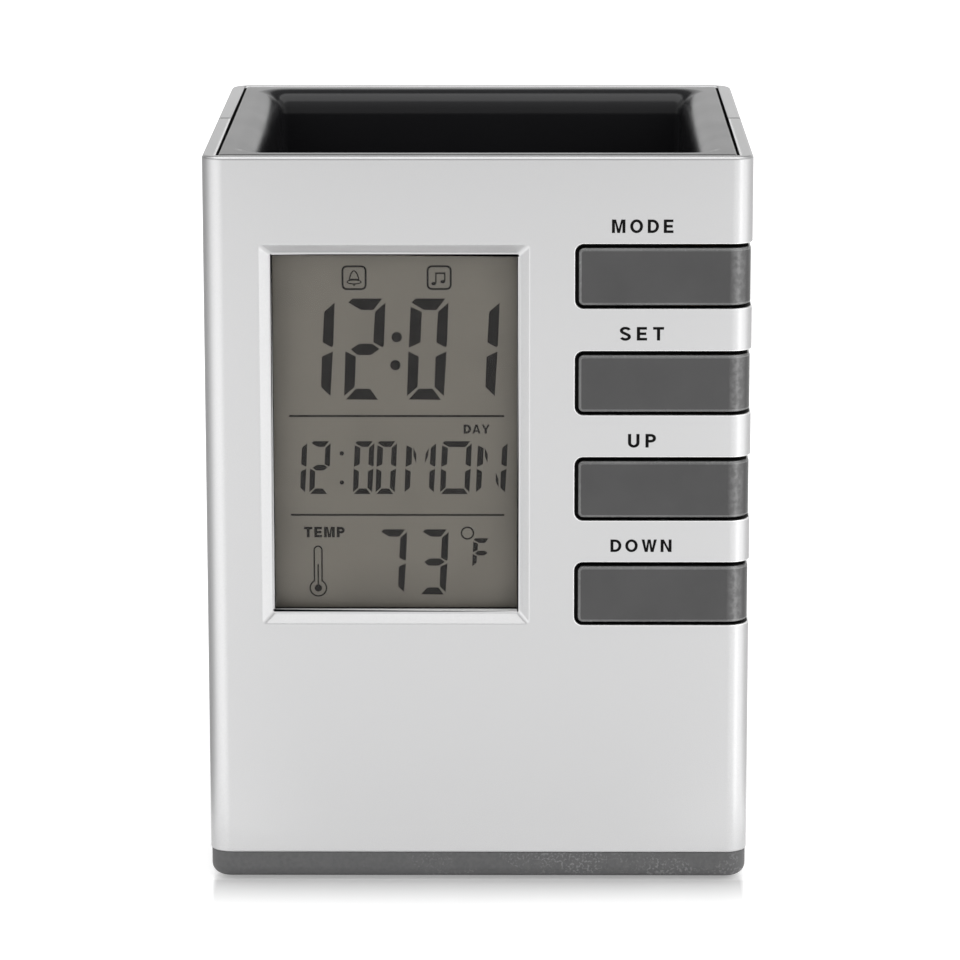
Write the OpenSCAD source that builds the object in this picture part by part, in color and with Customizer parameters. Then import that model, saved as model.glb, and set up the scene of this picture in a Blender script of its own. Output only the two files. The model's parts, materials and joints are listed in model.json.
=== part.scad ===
// Pen holder clock: a square desk cup with a clock display and four wrap-round keys on its front.
// Millimetres. +Z is up, the display faces -Y, and the origin is under the middle of the object.

/* [Case] */
// Width of the case, left to right
case_w = 80; // [78:1:100]
// Depth of the case, front to back, without the keys
case_d = 80; // [76:1:100]
// Height of the two shells, above the base
shell_h = 104.5; // [96:0.5:130]
// Radius of the upright corners
corner_r = 3.2; // [2.4:0.1:5]
// Thickness of the shell walls
wall = 2; // [1.9:0.1:2.4]
// Radius of the corners inside the shells
inner_r = 0.6; // [0.4:0.1:1.2]
// Rounding of the shells' top edge
top_round = 0.5; // [0.2:0.1:1]
// Rounding of the shells' bottom edge
skirt_round = 0.35; // [0.2:0.05:0.8]
// Distance of the side seam behind the middle of the case
seam_back = 1; // [-4:0.5:6]
// Length of the tongue that crosses the seam
tongue_len = 2.4; // [1.5:0.1:4]
// Thickness of the tongue
tongue_t = 1; // [0.8:0.1:1.4]

/* [Base] */
// Height of the dark base
base_h = 4; // [3.6:0.1:6]
// Rounding of the base's bottom edge
base_round = 1.7; // [0.5:0.1:2]
// How far the base stands in from the shells
base_inset = 0.15; // [0.05:0.05:0.5]
// Thickness of the base's floor
base_floor = 2; // [1.9:0.1:2.6]
// Height of the rim that locates the shells
spigot_h = 3; // [2:0.5:4]
// Thickness of that rim
spigot_t = 1.6; // [1.2:0.1:2]
// Radius of a rubber foot
foot_r = 4; // [3:0.5:5]
// Thickness of a rubber foot
foot_t = 1.1; // [0.9:0.1:1.3]
// How far a foot stands out of the base
foot_proud = 0.3; // [0.3:0.05:0.5]
// Distance of a foot's middle from the case's sides
foot_in = 13; // [12:0.5:15]

/* [Pen cup] */
// Width of the flat part of the rim
rim_flat = 2; // [1.5:0.1:3]
// Radius of the rolled inner edge of the rim
rim_roll = 3.85; // [3:0.05:4.6]
// Thickness of the rim's flange
rim_t = 1.6; // [1.2:0.1:2]
// Thickness of the cup's walls and floor
cup_wall = 1.6; // [1.2:0.1:2]
// Radius of the upright corners inside the cup
cup_r = 1.2; // [1:0.1:3]
// Upright wall between the rolled edge and the slope at the front
collar_h = 0.5; // [0.3:0.1:0.7]
// Size of the shoulder under the rolled edge
shoulder = 1.4; // [1.2:0.1:1.8]
// Width of the ledge that carries the rim
ledge_w = 1.4; // [1:0.1:1.6]
// Height of that ledge
ledge_h = 1.2; // [1:0.1:2]

/* [Display window] */
// Width of the bevelled frame, outside
window_w = 39.4; // [34:0.1:42]
// Height of the bevelled frame, outside
window_h = 56.75; // [52:0.05:60]
// Distance of the frame from the case's left side
window_left = 8.2; // [7.6:0.1:10]
// Distance of the frame below the shells' top
window_drop = 12.75; // [12:0.05:16]
// Width of the bevel, seen from the front
bevel_w = 1.45; // [1:0.05:2]
// Depth of the bevel
bevel_depth = 1.3; // [0.8:0.05:1.3]
// Width of the flat ledge inside the bevel
window_ledge = 0.3; // [0.2:0.05:0.6]
// How far the window's surround stands behind the wall
surround_h = 0.7; // [0.4:0.05:1]
// Thickness of the clear lens
lens_t = 1; // [0.8:0.1:1.2]
// How far the lens reaches behind the ledge
lens_lap = 1.3; // [0.8:0.1:1.5]

/* [Keys] */
// Distance of the key slots from the window frame
key_space = 6.6; // [5.6:0.1:8]
// Height of a key slot
slot_h = 9.4; // [8:0.1:10]
// Radius of a slot's corners
slot_r = 1.2; // [0.6:0.1:2]
// Gap between a key and its slot
key_gap = 0.5; // [0.3:0.05:0.7]
// Radius of a key's corners
key_r = 0.75; // [0.4:0.05:1.5]
// How far a key stands out of the front
key_proud = 0.45; // [0.2:0.05:0.8]
// How far a key lies inside the right side
key_side_inset = 0.25; // [0.05:0.05:0.4]
// How far a key runs back along the right side
key_side_len = 10; // [8:0.5:12]
// Thickness of a key where it runs along the side
key_wall = 1.8; // [1.4:0.1:2]
// Thickness of a key's retaining flange
flange_t = 1; // [0.8:0.1:1.2]
// How far the flange reaches past the slot
flange_lap = 0.9; // [0.6:0.1:1.1]
// Travel of a key
key_travel = 0.5; // [0.3:0.05:0.6]
// Distance of the switch from the left end of the slot
switch_from_left = 9.5; // [8:0.1:11]

/* [Electronics] */
// Thickness of the display cell
lcd_t = 2; // [1.6:0.1:2.4]
// How far the display cell reaches past the lens, each side
lcd_side = 0.7; // [0.5:0.1:0.9]
// How far it reaches past the lens, top and bottom
lcd_end = 1.9; // [1.8:0.1:2]
// Wall of the display's frame
lcd_frame_wall = 1.2; // [1:0.1:1.4]
// Height of a contact strip, from the display to the board
strip_t = 3; // [2.6:0.1:3.4]
// Width of a contact strip
strip_w = 1.8; // [1.4:0.1:2]
// Thickness of the circuit board
board_t = 1.6; // [1.2:0.1:1.8]
// Room behind the board
board_room = 2.6; // [2.3:0.1:4]
// Radius of a board boss
board_boss_r = 2; // [1.8:0.1:2.2]
// Side of a switch
switch_w = 6; // [5:0.5:6.5]
// Height of a switch's body
switch_body = 3.5; // [3.2:0.1:3.7]
// Radius of a switch's plunger
plunger_r = 1.75; // [1.2:0.05:2]
// Radius of the sounder's brass disc
sounder_r = 10; // [8:0.5:11]

/* [Batteries] */
// Radius of a cell
cell_r = 5.25; // [5:0.05:5.5]
// Length of a cell, with its button
cell_len = 44.5; // [43.5:0.1:45]
// Room for a contact spring
spring_room = 3.9; // [3.5:0.1:5]
// Thickness of a contact plate
contact_t = 0.5; // [0.3:0.1:0.7]
// Wall of the battery box
box_wall = 2.4; // [2.2:0.1:3]
// Thickness of the battery door
door_t = 1.6; // [1.4:0.1:1.7]
// Room for leads between the battery box and the cup
lead_room = 3; // [2.6:0.1:5]

/* [Screws] */
// Radius of a case screw
screw_r = 1.2; // [1:0.05:1.4]
// Radius of a case screw's head
screw_head_r = 2; // [1.8:0.1:2.2]
// Height of a case screw's head
screw_head_h = 1.4; // [1.2:0.1:1.6]
// Radius of a boss
boss_r = 3.2; // [2.8:0.1:3.4]
// Distance of a corner boss from the case's sides
boss_in = 7.5; // [7.3:0.1:8.5]
// Radius of a board screw
board_screw_r = 0.95; // [0.8:0.05:1]

/* [Clearances] */
// Gap round the cup's rim
rim_gap = 0.25; // [0.1:0.05:0.4]
// Gap between the locating parts of the case
case_gap = 0.15; // [0.1:0.05:0.25]
// Gap round pieces that sit in a pocket
seat_gap = 0.1; // [0.05:0.05:0.15]
// Gap between a key's flange and its guides
guide_gap = 0.15; // [0.1:0.05:0.25]
// Gap round the battery door
door_gap = 0.3; // [0.2:0.05:0.4]
// Room round a cell
cell_gap = 0.5; // [0.3:0.1:0.8]
// Gap between a screw and its threaded hole
thread_gap = 0.05; // [0.03:0.01:0.1]

/* [Hidden] */
$fn = 64;
eps = 0.01;
over = 1;

// The keys stand out of the front, so the case sits back by half of that to keep the whole centred.
mid_y = key_proud / 2;
half_w = case_w / 2;
half_d = case_d / 2;
in_w = half_w - wall;
in_d = half_d - wall;
seam_y = seam_back;

// Heights
base_z = foot_proud;
floor_z = base_z + base_floor;
shell_z = base_z + base_h;
top_z = shell_z + shell_h;
spigot_top = shell_z + spigot_h;
spigot_w = 2 * (in_w - case_gap);
spigot_d = 2 * (in_d - case_gap);
rim_under = top_z - rim_t;
root_gap = 0.5;

// Window, from its frame's outside
window_x0 = -half_w + window_left;
window_x1 = window_x0 + window_w;
window_z1 = top_z - window_drop;
window_z0 = window_z1 - window_h;
window_x = (window_x0 + window_x1) / 2;
window_z = (window_z0 + window_z1) / 2;
view_w = window_w - 2 * (bevel_w + window_ledge);
view_h = window_h - 2 * (bevel_w + window_ledge);
lens_w = view_w + 2 * lens_lap;
lens_h = view_h + 2 * lens_lap;

// Depths behind the front face
lens_front = wall + surround_h;
lens_back = lens_front + lens_t;
lcd_air = 0.2;
lcd_front = lens_back + lcd_air;
lcd_back = lcd_front + lcd_t;
board_front = lcd_back + strip_t;
board_back = board_front + board_t;
cup_front = board_back + board_room;

// Display cell and its frame
lcd_w = lens_w + 2 * lcd_side;
lcd_h = lens_h + 2 * lcd_end;
frame_w = lcd_w + 2 * (seat_gap + lcd_frame_wall);
frame_h = lcd_h + 2 * (seat_gap + lcd_frame_wall);
frame_x0 = window_x - frame_w / 2;
strip_in = 0.5;
strip_end = 2.5;
strip_len = lcd_w - 2 * strip_end;
strip_z = lcd_h / 2 - strip_in - strip_w / 2;
frame_rest = 3;
frame_view_h = 2 * (strip_z - strip_w / 2 - frame_rest);

// Keys
key_count = 4;
key_pitch = (window_h - slot_h) / (key_count - 1);
slot_x0 = window_x1 + key_space;
key_x0 = slot_x0 + key_gap;
key_x1 = half_w - key_side_inset;
key_h = slot_h - 2 * key_gap;
key_stop = 0.1;
key_flat = wall + key_stop;
flange_back = key_flat + flange_t;
flange_h = slot_h + 2 * flange_lap;
flange_x0 = slot_x0 - flange_lap;
switch_x = slot_x0 + switch_from_left;
flange_past = 1.5;
flange_x1 = switch_x + switch_w / 2 + flange_past;
guide_t = 1;
guide_len = 2.2;
key_web = 1.6;
side_slot_len = key_side_len + key_travel + key_gap;
function key_z(i) = window_z1 - slot_h / 2 - i * key_pitch;

// Board and its bosses, between the upper pair and the lower pair of keys
board_boss_wall = 2;
board_boss_frame = 0.3;
board_boss_right = in_w - board_boss_r - board_boss_wall;
board_boss_left = frame_x0 - board_boss_r - board_boss_frame;
board_boss_z = [(key_z(0) + key_z(1)) / 2, (key_z(2) + key_z(3)) / 2];
board_left_gap = 0.4;
board_right_gap = 1.4;
board_below = 15;
board_x0 = -in_w + board_left_gap;
board_x1 = in_w - board_right_gap;
board_z0 = window_z0 - board_below;
board_z1 = window_z + frame_h / 2 + root_gap;
board_tongue_gap = 1.3;
board_tongue_lift = 4.7;
board_tongue_w = 2 * (half_w - boss_in - boss_r - board_tongue_gap);
board_tongue_z0 = shell_z + board_tongue_lift;
board_head_h = 1.2;
board_head_r = 1.7;
board_hole_r = board_screw_r + case_gap;

// Batteries, side by side under the cup and head to tail
cell_space = 1;
cell_pitch = 2 * cell_r + cell_space;
door_sunk = 0.1;
door_z = base_z + door_sunk;
door_top = door_z + door_t;
ledge_z = door_top + door_sunk;
cell_z = door_top + cell_gap + cell_r;
box_in_x = (cell_len + spring_room) / 2 + contact_t;
box_in_y = cell_pitch / 2 + cell_r + cell_gap;
box_ceiling = cell_z + cell_r + cell_gap;
box_roof = 1.5;
box_top = box_ceiling + box_roof;
door_lap = 1.2;
door_hole_x = box_in_x + door_lap;
door_hole_y = box_in_y + door_lap;
door_half_x = door_hole_x - door_gap;
door_half_y = door_hole_y - door_gap;
hinge_y = door_half_y - door_t / 2;
hinge_z = door_z + door_t / 2;
tab_w = 6;
tab_x = 16;
tab_t = 1.1;
tab_len = 1.6;
tab_lift = floor_z + case_gap;
tab_room = 1.8;
tab_slot_h = tab_lift + tab_t + tab_room - ledge_z;
grip_count = 3;
grip_len = 12;
grip_w = 0.8;
grip_h = 0.2;
grip_pitch = 1.6;
grip_in = 2;
scoop_r = 6;
scoop_depth = 1;
cell_nub_r = 1.9;
cell_nub_h = 1;
plate_w = 9;
tag_w = 3;
tag_h = 1.9;
spring_wire_r = 0.3;
spring_turns = 3;
spring_r0 = 3.4;
spring_r1 = 1.8;

// Cup
cup_z = box_top + lead_room;
cup_floor = cup_z + cup_wall;
rim_w = in_w - rim_gap;
rim_d = in_d - rim_gap;
mouth_w = rim_w - rim_flat - rim_roll;
mouth_d = rim_d - rim_flat - rim_roll;
well_front = -half_d + cup_front + cup_wall;
slope_z = top_z - rim_roll - collar_h;

// Screws
boss_x = half_w - boss_in;
boss_y = half_d - boss_in;
boss_drop = 2;
boss_top = cup_z - boss_drop;
screw_reach = 7.5;
hole_spare = 0.8;
head_gap = 0.3;
counterbore_r = screw_head_r + head_gap;
recess_len = 1.3 * screw_head_r;
recess_w = 0.3 * screw_head_r;
pillar_r = 3;
pillar_space = 0.6;
pillar_h = 5.7;
pillar_x = box_in_x + box_wall + pillar_space + pillar_r;
pillar_top = floor_z + pillar_h;
gusset_t = 1.6;

// Sounder
sounder_lift = 28;
sounder_z = shell_z + sounder_lift;
sounder_t = 0.25;
ceramic_share = 0.7;
ceramic_r = ceramic_share * sounder_r;
ceramic_t = 0.2;
sounder_seat = 1.6;
sounder_seat_t = 1.2;
sounder_y = in_d - sounder_seat;
sound_slot_w = 1.4;
sound_slot_h = 10;
sound_slot_pitch = 3.2;
sound_slot_side = 2;

// Routes of the leads, from each contact to the back of the board
lead_r = 0.5;
lead_lift = 1.3;
lead_z = box_top + lead_lift;
lead_turn = 5;
lead_bend = 1.5;
lead_tight = 0.35;
lead_cup_gap = 0.6;
red_x = -22;
black_x = -18;
disc_lead_x = 8;
disc_lead_drop = 3;
ceramic_lead_x = 4;
plate_x = contact_t / 2 - box_in_x;
board_y = -half_d + board_back;
lead_drop_y = mouth_d + cup_wall + lead_cup_gap + lead_r;
red_route = [
    [plate_x, -(cell_pitch + tag_w) / 2, lead_z],
    [plate_x, -(cell_pitch + tag_w) / 2 - lead_turn, lead_z],
    [red_x, board_y + lead_turn, lead_z],
    [red_x, board_y, lead_z]
];
black_route = [
    [plate_x, (cell_pitch - tag_w) / 2, lead_z],
    [plate_x, cell_pitch / 2 - tag_w, lead_z],
    [black_x, -lead_turn, lead_z],
    [black_x, board_y, lead_z]
];
disc_route = sounder_route(disc_lead_x, sounder_y - sounder_t, sounder_z - disc_lead_drop);
ceramic_route = sounder_route(ceramic_lead_x, sounder_y - sounder_t - ceramic_t, sounder_z);
function sounder_route(x, face, z) = [
    [x, face, z],
    [x, lead_drop_y + lead_tight, z],
    [x, lead_drop_y, z - lead_tight],
    [x, lead_drop_y, lead_z + lead_bend],
    [x, lead_drop_y - lead_bend, lead_z],
    [x, board_y, lead_z]
];

// Rounded rectangle about the origin
module rounded(w, d, r) {
    square([w - 2 * r, d], center = true);
    square([w, d - 2 * r], center = true);
    for (x = [-1, 1], y = [-1, 1])
        translate([x * (w / 2 - r), y * (d / 2 - r)])
            circle(r);
}

// Rounded rectangle between two corners
module rounded_between(x0, y0, x1, y1, r) {
    translate([(x0 + x1) / 2, (y0 + y1) / 2])
        rounded(x1 - x0, y1 - y0, r);
}

// Upright prism on the drawn outline
module upright(z0, z1) {
    translate([0, 0, z0])
        linear_extrude(z1 - z0)
            children();
}

// Prism behind the front face: the outline is drawn in X and Z, the depths run from the face
module behind_front(d0, d1) {
    translate([0, -half_d + d1, 0])
        rotate([90, 0, 0])
            linear_extrude(d1 - d0)
                children();
}

// Prism across the case: the outline is drawn in Y and Z
module across(x0, x1) {
    translate([x0, 0, 0])
        rotate([90, 0, 90])
            linear_extrude(x1 - x0)
                children();
}

// Round pin along Y, between two depths behind the front face
module pin_behind_front(x, z, r, d0, d1) {
    behind_front(d0, d1)
        translate([x, z])
            circle(r);
}

// Cross-section at the edge of a block, rounded below and above on its outside
module edge_section(reach, h, low, high) {
    difference() {
        square([reach, h]);
        translate([reach - low, 0])
            difference() {
                translate([0, -over])
                    square([low + over, low + over]);
                translate([0, low])
                    circle(low);
            }
        translate([reach - high, h - high])
            difference() {
                square([high + over, high + over]);
                circle(high);
            }
    }
}

// Block with upright corners of radius r and rounded lower and upper edges
module soft_block(w, d, r, h, low, high) {
    translate([r - w / 2, r - d / 2, 0])
        cube([w - 2 * r, d - 2 * r, h]);
    for (turn = [0, 180])
        rotate(turn) {
            translate([w / 2 - r, 0, 0])
                rotate([90, 0, 0])
                    linear_extrude(d - 2 * r, center = true)
                        edge_section(r, h, low, high);
            translate([0, d / 2 - r, 0])
                rotate([90, 0, 90])
                    linear_extrude(w - 2 * r, center = true)
                        edge_section(r, h, low, high);
            translate([w / 2 - r, d / 2 - r, 0])
                rotate_extrude(angle = 90)
                    edge_section(r, h, low, high);
            translate([r - w / 2, d / 2 - r, 0])
                rotate(90)
                    rotate_extrude(angle = 90)
                        edge_section(r, h, low, high);
        }
}

// Round wire along a route, with flat ends
wire_sides = 8;
wire_up = [0.1, 0, 1];
function unit(v) = v / norm(v);
function heading(p, i) =
    i == 0 ? unit(p[1] - p[0]) :
    i == len(p) - 1 ? unit(p[i] - p[i - 1]) :
    unit(unit(p[i] - p[i - 1]) + unit(p[i + 1] - p[i]));
function ring(p, i, r) =
    let (t = heading(p, i), u = unit(cross(t, wire_up)), v = cross(t, u))
    [for (k = [0 : wire_sides - 1])
        p[i] + r * (cos(360 * k / wire_sides) * u + sin(360 * k / wire_sides) * v)];
function tube_faces(rings, sides) = concat(
    [for (i = [0 : rings - 2], k = [0 : sides - 1])
        [i * sides + k, i * sides + (k + 1) % sides, (i + 1) * sides + (k + 1) % sides]],
    [for (i = [0 : rings - 2], k = [0 : sides - 1])
        [i * sides + k, (i + 1) * sides + (k + 1) % sides, (i + 1) * sides + k]],
    [for (k = [1 : sides - 2]) [0, k + 1, k]],
    [for (k = [1 : sides - 2])
        [(rings - 1) * sides, (rings - 1) * sides + k, (rings - 1) * sides + k + 1]]
);
module wire(route, r) {
    points = [for (i = [0 : len(route) - 1]) each ring(route, i, r)];
    polyhedron(points, tube_faces(len(route), wire_sides));
}

// Conical contact spring along +X, from its wide end at the origin
spring_sides = 6;
spring_steps = 12;
module contact_spring(length) {
    rings = spring_turns * spring_steps + 1;
    rise = length - 2 * spring_wire_r;
    points = [for (i = [0 : rings - 1])
        let (f = i / (rings - 1), a = 360 * i / spring_steps, r = spring_r0 + f * (spring_r1 - spring_r0))
        each [for (k = [0 : spring_sides - 1])
            let (b = 360 * k / spring_sides, q = r + spring_wire_r * cos(b))
            [spring_wire_r + f * rise + spring_wire_r * sin(b), q * cos(a), q * sin(a)]]];
    polyhedron(points, tube_faces(rings, spring_sides));
}

// Outline of the inside of both shells
module case_inside() {
    rounded(2 * in_w, 2 * in_d, inner_r);
}

// Both shells in one, as a square tube with the ledge that carries the cup's rim
module case_tube() {
    difference() {
        translate([0, 0, shell_z])
            soft_block(case_w, case_d, corner_r, shell_h, skirt_round, top_round);
        upright(shell_z - over, top_z + over)
            case_inside();
    }
    upright(rim_under - ledge_h, rim_under)
        difference() {
            rounded(2 * in_w + wall, 2 * in_d + wall, inner_r);
            rounded(2 * (in_w - ledge_w), 2 * (in_d - ledge_w), inner_r);
        }
}

// Half of the case, in front of the seam or behind it
module front_half() {
    translate([-case_w, seam_y - 2 * case_d, -over])
        cube([2 * case_w, 2 * case_d, top_z + 2 * over]);
}
module rear_half() {
    translate([-case_w, seam_y, -over])
        cube([2 * case_w, 2 * case_d, top_z + 2 * over]);
}

// Screw boss in a corner, with ribs to both walls; side is -1 at the front and 1 at the rear
module corner_bosses(side) {
    for (x = [-1, 1]) {
        translate([x * boss_x, side * boss_y, shell_z])
            cylinder(r = boss_r, h = boss_top - shell_z);
        upright(spigot_top + root_gap, boss_top) {
            rib(x * boss_x, side * boss_y - gusset_t / 2, x * (in_w + eps), side * boss_y + gusset_t / 2);
            rib(x * boss_x - gusset_t / 2, side * boss_y, x * boss_x + gusset_t / 2, side * (in_d + eps));
        }
    }
}
module rib(x0, y0, x1, y1) {
    translate([min(x0, x1), min(y0, y1)])
        square([abs(x1 - x0), abs(y1 - y0)]);
}
module corner_boss_holes(side) {
    for (x = [-1, 1])
        translate([x * boss_x, side * boss_y, shell_z - over])
            cylinder(r = screw_r + thread_gap, h = screw_reach + hole_spare + over);
}

// Bevelled window opening: a frustum, then the plain opening
bevel_slope = bevel_w / bevel_depth;
module window_cut() {
    intersection() {
        upright(window_z0 - over * bevel_slope, window_z1 + over * bevel_slope)
            translate([window_x, -half_d])
                bevel_section(window_w / 2);
        across(window_x0 - over * bevel_slope, window_x1 + over * bevel_slope)
            translate([-half_d, window_z])
                rotate(-90)
                    mirror([1, 0])
                        bevel_section(window_h / 2);
    }
    behind_front(-over, lens_front + over)
        translate([window_x, window_z])
            square([view_w, view_h], center = true);
}
module bevel_section(half) {
    polygon([
        [-half - over * bevel_slope, -over],
        [half + over * bevel_slope, -over],
        [half - bevel_w, bevel_depth],
        [bevel_w - half, bevel_depth]
    ]);
}

// Slot of one key, through the front and round the right corner
module key_slot() {
    behind_front(-over, wall + over)
        rounded_between(slot_x0, -slot_h / 2, case_w, slot_h / 2, slot_r);
    across(in_w - over, half_w + over)
        translate([-half_d, 0])
            rounded_between(-case_d / 4, -slot_h / 2, side_slot_len, slot_h / 2, slot_r);
}

// Two ribs that guide a key's flange
module key_guides() {
    for (s = [-1, 1])
        behind_front(wall - eps, wall + guide_len)
            translate([slot_x0 + key_gap, s * (flange_h / 2 + guide_gap + guide_t / 2) - guide_t / 2])
                square([flange_x1 - slot_x0 - key_gap, guide_t]);
}

module front_shell() {
    color("silver")
        translate([0, mid_y, 0])
            difference() {
                union() {
                    intersection() {
                        case_tube();
                        front_half();
                    }
                    corner_bosses(-1);
                    behind_front(wall - eps, lens_front)
                        translate([window_x, window_z])
                            square([lens_w, lens_h], center = true);
                    for (i = [0 : key_count - 1])
                        translate([0, 0, key_z(i)])
                            key_guides();
                    for (x = [board_boss_left, board_boss_right], z = board_boss_z)
                        pin_behind_front(x, z, board_boss_r, wall - eps, board_front);
                }
                window_cut();
                for (i = [0 : key_count - 1])
                    translate([0, 0, key_z(i)])
                        key_slot();
                for (x = [board_boss_left, board_boss_right], z = board_boss_z)
                    pin_behind_front(x, z, board_screw_r + thread_gap, wall + hole_spare, board_front + over);
                corner_boss_holes(-1);
            }
}

// Tongue that runs up both sides of the seam, inside the front shell
module seam_tongues() {
    for (x = [-1, 1])
        upright(spigot_top + root_gap, rim_under - ledge_h - root_gap) {
            rib(x * (in_w - case_gap - tongue_t), seam_y - tongue_len,
                x * (in_w - case_gap), seam_y + tongue_len);
            rib(x * (in_w - case_gap - tongue_t), seam_y, x * (in_w + eps), seam_y + tongue_len);
        }
}

// Seat ring of the sounder, and the slots that let its sound out
module sounder_seat_ring() {
    behind_front(case_d - wall - sounder_seat, case_d - wall + eps)
        translate([0, sounder_z])
            difference() {
                circle(sounder_r + seat_gap);
                circle(sounder_r - sounder_seat_t);
            }
}
module sound_slots() {
    for (i = [-sound_slot_side : sound_slot_side])
        behind_front(case_d - wall - over, case_d + over)
            translate([i * sound_slot_pitch, sounder_z])
                rounded(sound_slot_w, sound_slot_h, sound_slot_w / 2 - eps);
}

module rear_shell() {
    color("silver")
        translate([0, mid_y, 0])
            difference() {
                union() {
                    intersection() {
                        case_tube();
                        rear_half();
                    }
                    corner_bosses(1);
                    seam_tongues();
                    sounder_seat_ring();
                }
                sound_slots();
                corner_boss_holes(1);
            }
}

// Outline of the cup: the mouth grown by a wall, with its front at the given place
module cup_outline(front, grow) {
    rounded_between(-mouth_w - grow, front - grow, mouth_w + grow, mouth_d + grow, cup_r + grow);
}

// Space above the slope at the front; drop lowers the slope to make its outside
module above_slope(drop) {
    across(-case_w, case_w)
        translate([-mouth_d, slope_z - drop])
            polygon([
                [-case_d, case_d],
                [case_d, -case_d],
                [case_d, case_d]
            ]);
}

// Cutter that rolls the rim's inner edge
module roll_section(inner) {
    difference() {
        translate([inner - over / 2, top_z - rim_roll])
            square([rim_roll + over / 2, rim_roll + over]);
        translate([inner + rim_roll, top_z - rim_roll])
            circle(rim_roll);
    }
}
module rim_roll_cut() {
    for (turn = [0, 180])
        rotate(turn) {
            translate([mouth_w - cup_r, 0, 0])
                rotate([90, 0, 0])
                    linear_extrude(2 * (mouth_d - cup_r), center = true)
                        roll_section(cup_r);
            translate([0, mouth_d - cup_r, 0])
                rotate([90, 0, 90])
                    linear_extrude(2 * (mouth_w - cup_r), center = true)
                        roll_section(cup_r);
            translate([mouth_w - cup_r, mouth_d - cup_r, 0])
                rotate_extrude(angle = 90)
                    roll_section(cup_r);
            translate([cup_r - mouth_w, mouth_d - cup_r, 0])
                rotate(90)
                    rotate_extrude(angle = 90)
                        roll_section(cup_r);
        }
}

module pen_cup() {
    color([0.08, 0.08, 0.08])
        translate([0, mid_y, 0])
            difference() {
                union() {
                    upright(cup_z, rim_under + eps)
                        cup_outline(well_front, cup_wall);
                    intersection() {
                        upright(cup_floor, rim_under + eps)
                            cup_outline(-mouth_d, cup_wall);
                        above_slope(cup_wall * sqrt(2));
                    }
                    upright(rim_under - shoulder, rim_under + eps)
                        cup_outline(-mouth_d, cup_wall + shoulder);
                    upright(rim_under, top_z)
                        rounded(2 * rim_w, 2 * rim_d, inner_r);
                    for (x = [-1, 1])
                        translate([x * pillar_x, 0, pillar_top])
                            cylinder(r = pillar_r, h = cup_z - pillar_top + eps);
                }
                upright(cup_floor, top_z + over)
                    cup_outline(well_front, 0);
                intersection() {
                    upright(cup_floor, top_z + over)
                        cup_outline(-mouth_d, 0);
                    above_slope(0);
                }
                rim_roll_cut();
                for (x = [-1, 1])
                    translate([x * pillar_x, 0, pillar_top - over])
                        cylinder(r = screw_r + thread_gap, h = screw_reach + hole_spare + over);
            }
}

// Hole for a case screw, counterbored from below
module screw_hole(top) {
    translate([0, 0, base_z - over])
        cylinder(r = counterbore_r, h = base_floor + over);
    translate([0, 0, base_z - over])
        cylinder(r = screw_r + case_gap, h = top - base_z + 2 * over);
}

// A case screw, its head against the top of the counterbore
module case_screw(seat, tip) {
    difference() {
        union() {
            translate([0, 0, seat - screw_head_h])
                cylinder(r = screw_head_r, h = screw_head_h);
            translate([0, 0, seat - eps])
                cylinder(r = screw_r, h = tip - seat + eps);
        }
        for (a = [0, 90])
            translate([0, 0, seat - screw_head_h])
                rotate(a)
                    cube([recess_len, recess_w, screw_head_h], center = true);
    }
}

module each_corner(in) {
    for (x = [-1, 1], y = [-1, 1])
        translate([x * (half_w - in), y * (half_d - in), 0])
            children();
}

module base() {
    color("dimgray")
        translate([0, mid_y, 0])
            difference() {
                union() {
                    difference() {
                        translate([0, 0, base_z])
                            soft_block(case_w - 2 * base_inset, case_d - 2 * base_inset,
                                corner_r - base_inset, base_h, base_round, eps);
                        upright(floor_z, shell_z + over)
                            rounded(spigot_w - 2 * spigot_t, spigot_d - 2 * spigot_t, inner_r);
                    }
                    upright(floor_z, spigot_top)
                        difference() {
                            rounded(spigot_w, spigot_d, inner_r);
                            rounded(spigot_w - 2 * spigot_t, spigot_d - 2 * spigot_t, inner_r);
                        }
                    each_corner(boss_in)
                        translate([0, 0, floor_z - eps])
                            cylinder(r = boss_r, h = shell_z - floor_z + eps);
                    for (x = [-1, 1])
                        translate([x * pillar_x, 0, floor_z - eps])
                            cylinder(r = pillar_r, h = pillar_top - floor_z + eps);
                    upright(ledge_z, box_top)
                        square([2 * (box_in_x + box_wall), 2 * (box_in_y + box_wall)], center = true);
                }
                upright(base_z - over, box_ceiling)
                    square([2 * box_in_x, 2 * box_in_y], center = true);
                upright(base_z - over, ledge_z)
                    square([2 * door_hole_x, 2 * door_hole_y], center = true);
                for (x = [-1, 1])
                    translate([x * tab_x - tab_w / 2 - door_gap, box_in_y - over, ledge_z - eps])
                        cube([tab_w + 2 * door_gap, box_wall + 2 * over, tab_slot_h]);
                for (y = [-1, 1])
                    translate([-box_in_x - eps, (y * cell_pitch - tag_w) / 2 - seat_gap, box_ceiling - over])
                        cube([contact_t + seat_gap + eps, tag_w + 2 * seat_gap, box_roof + 2 * over]);
                each_corner(boss_in)
                    screw_hole(shell_z);
                for (x = [-1, 1])
                    translate([x * pillar_x, 0, 0])
                        screw_hole(pillar_top);
                each_corner(foot_in)
                    translate([0, 0, base_z - over])
                        cylinder(r = foot_r + seat_gap, h = foot_t - foot_proud + over);
                translate([0, -door_hole_y, base_z - over])
                    cylinder(r = scoop_r, h = scoop_depth + over);
            }
}

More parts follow.
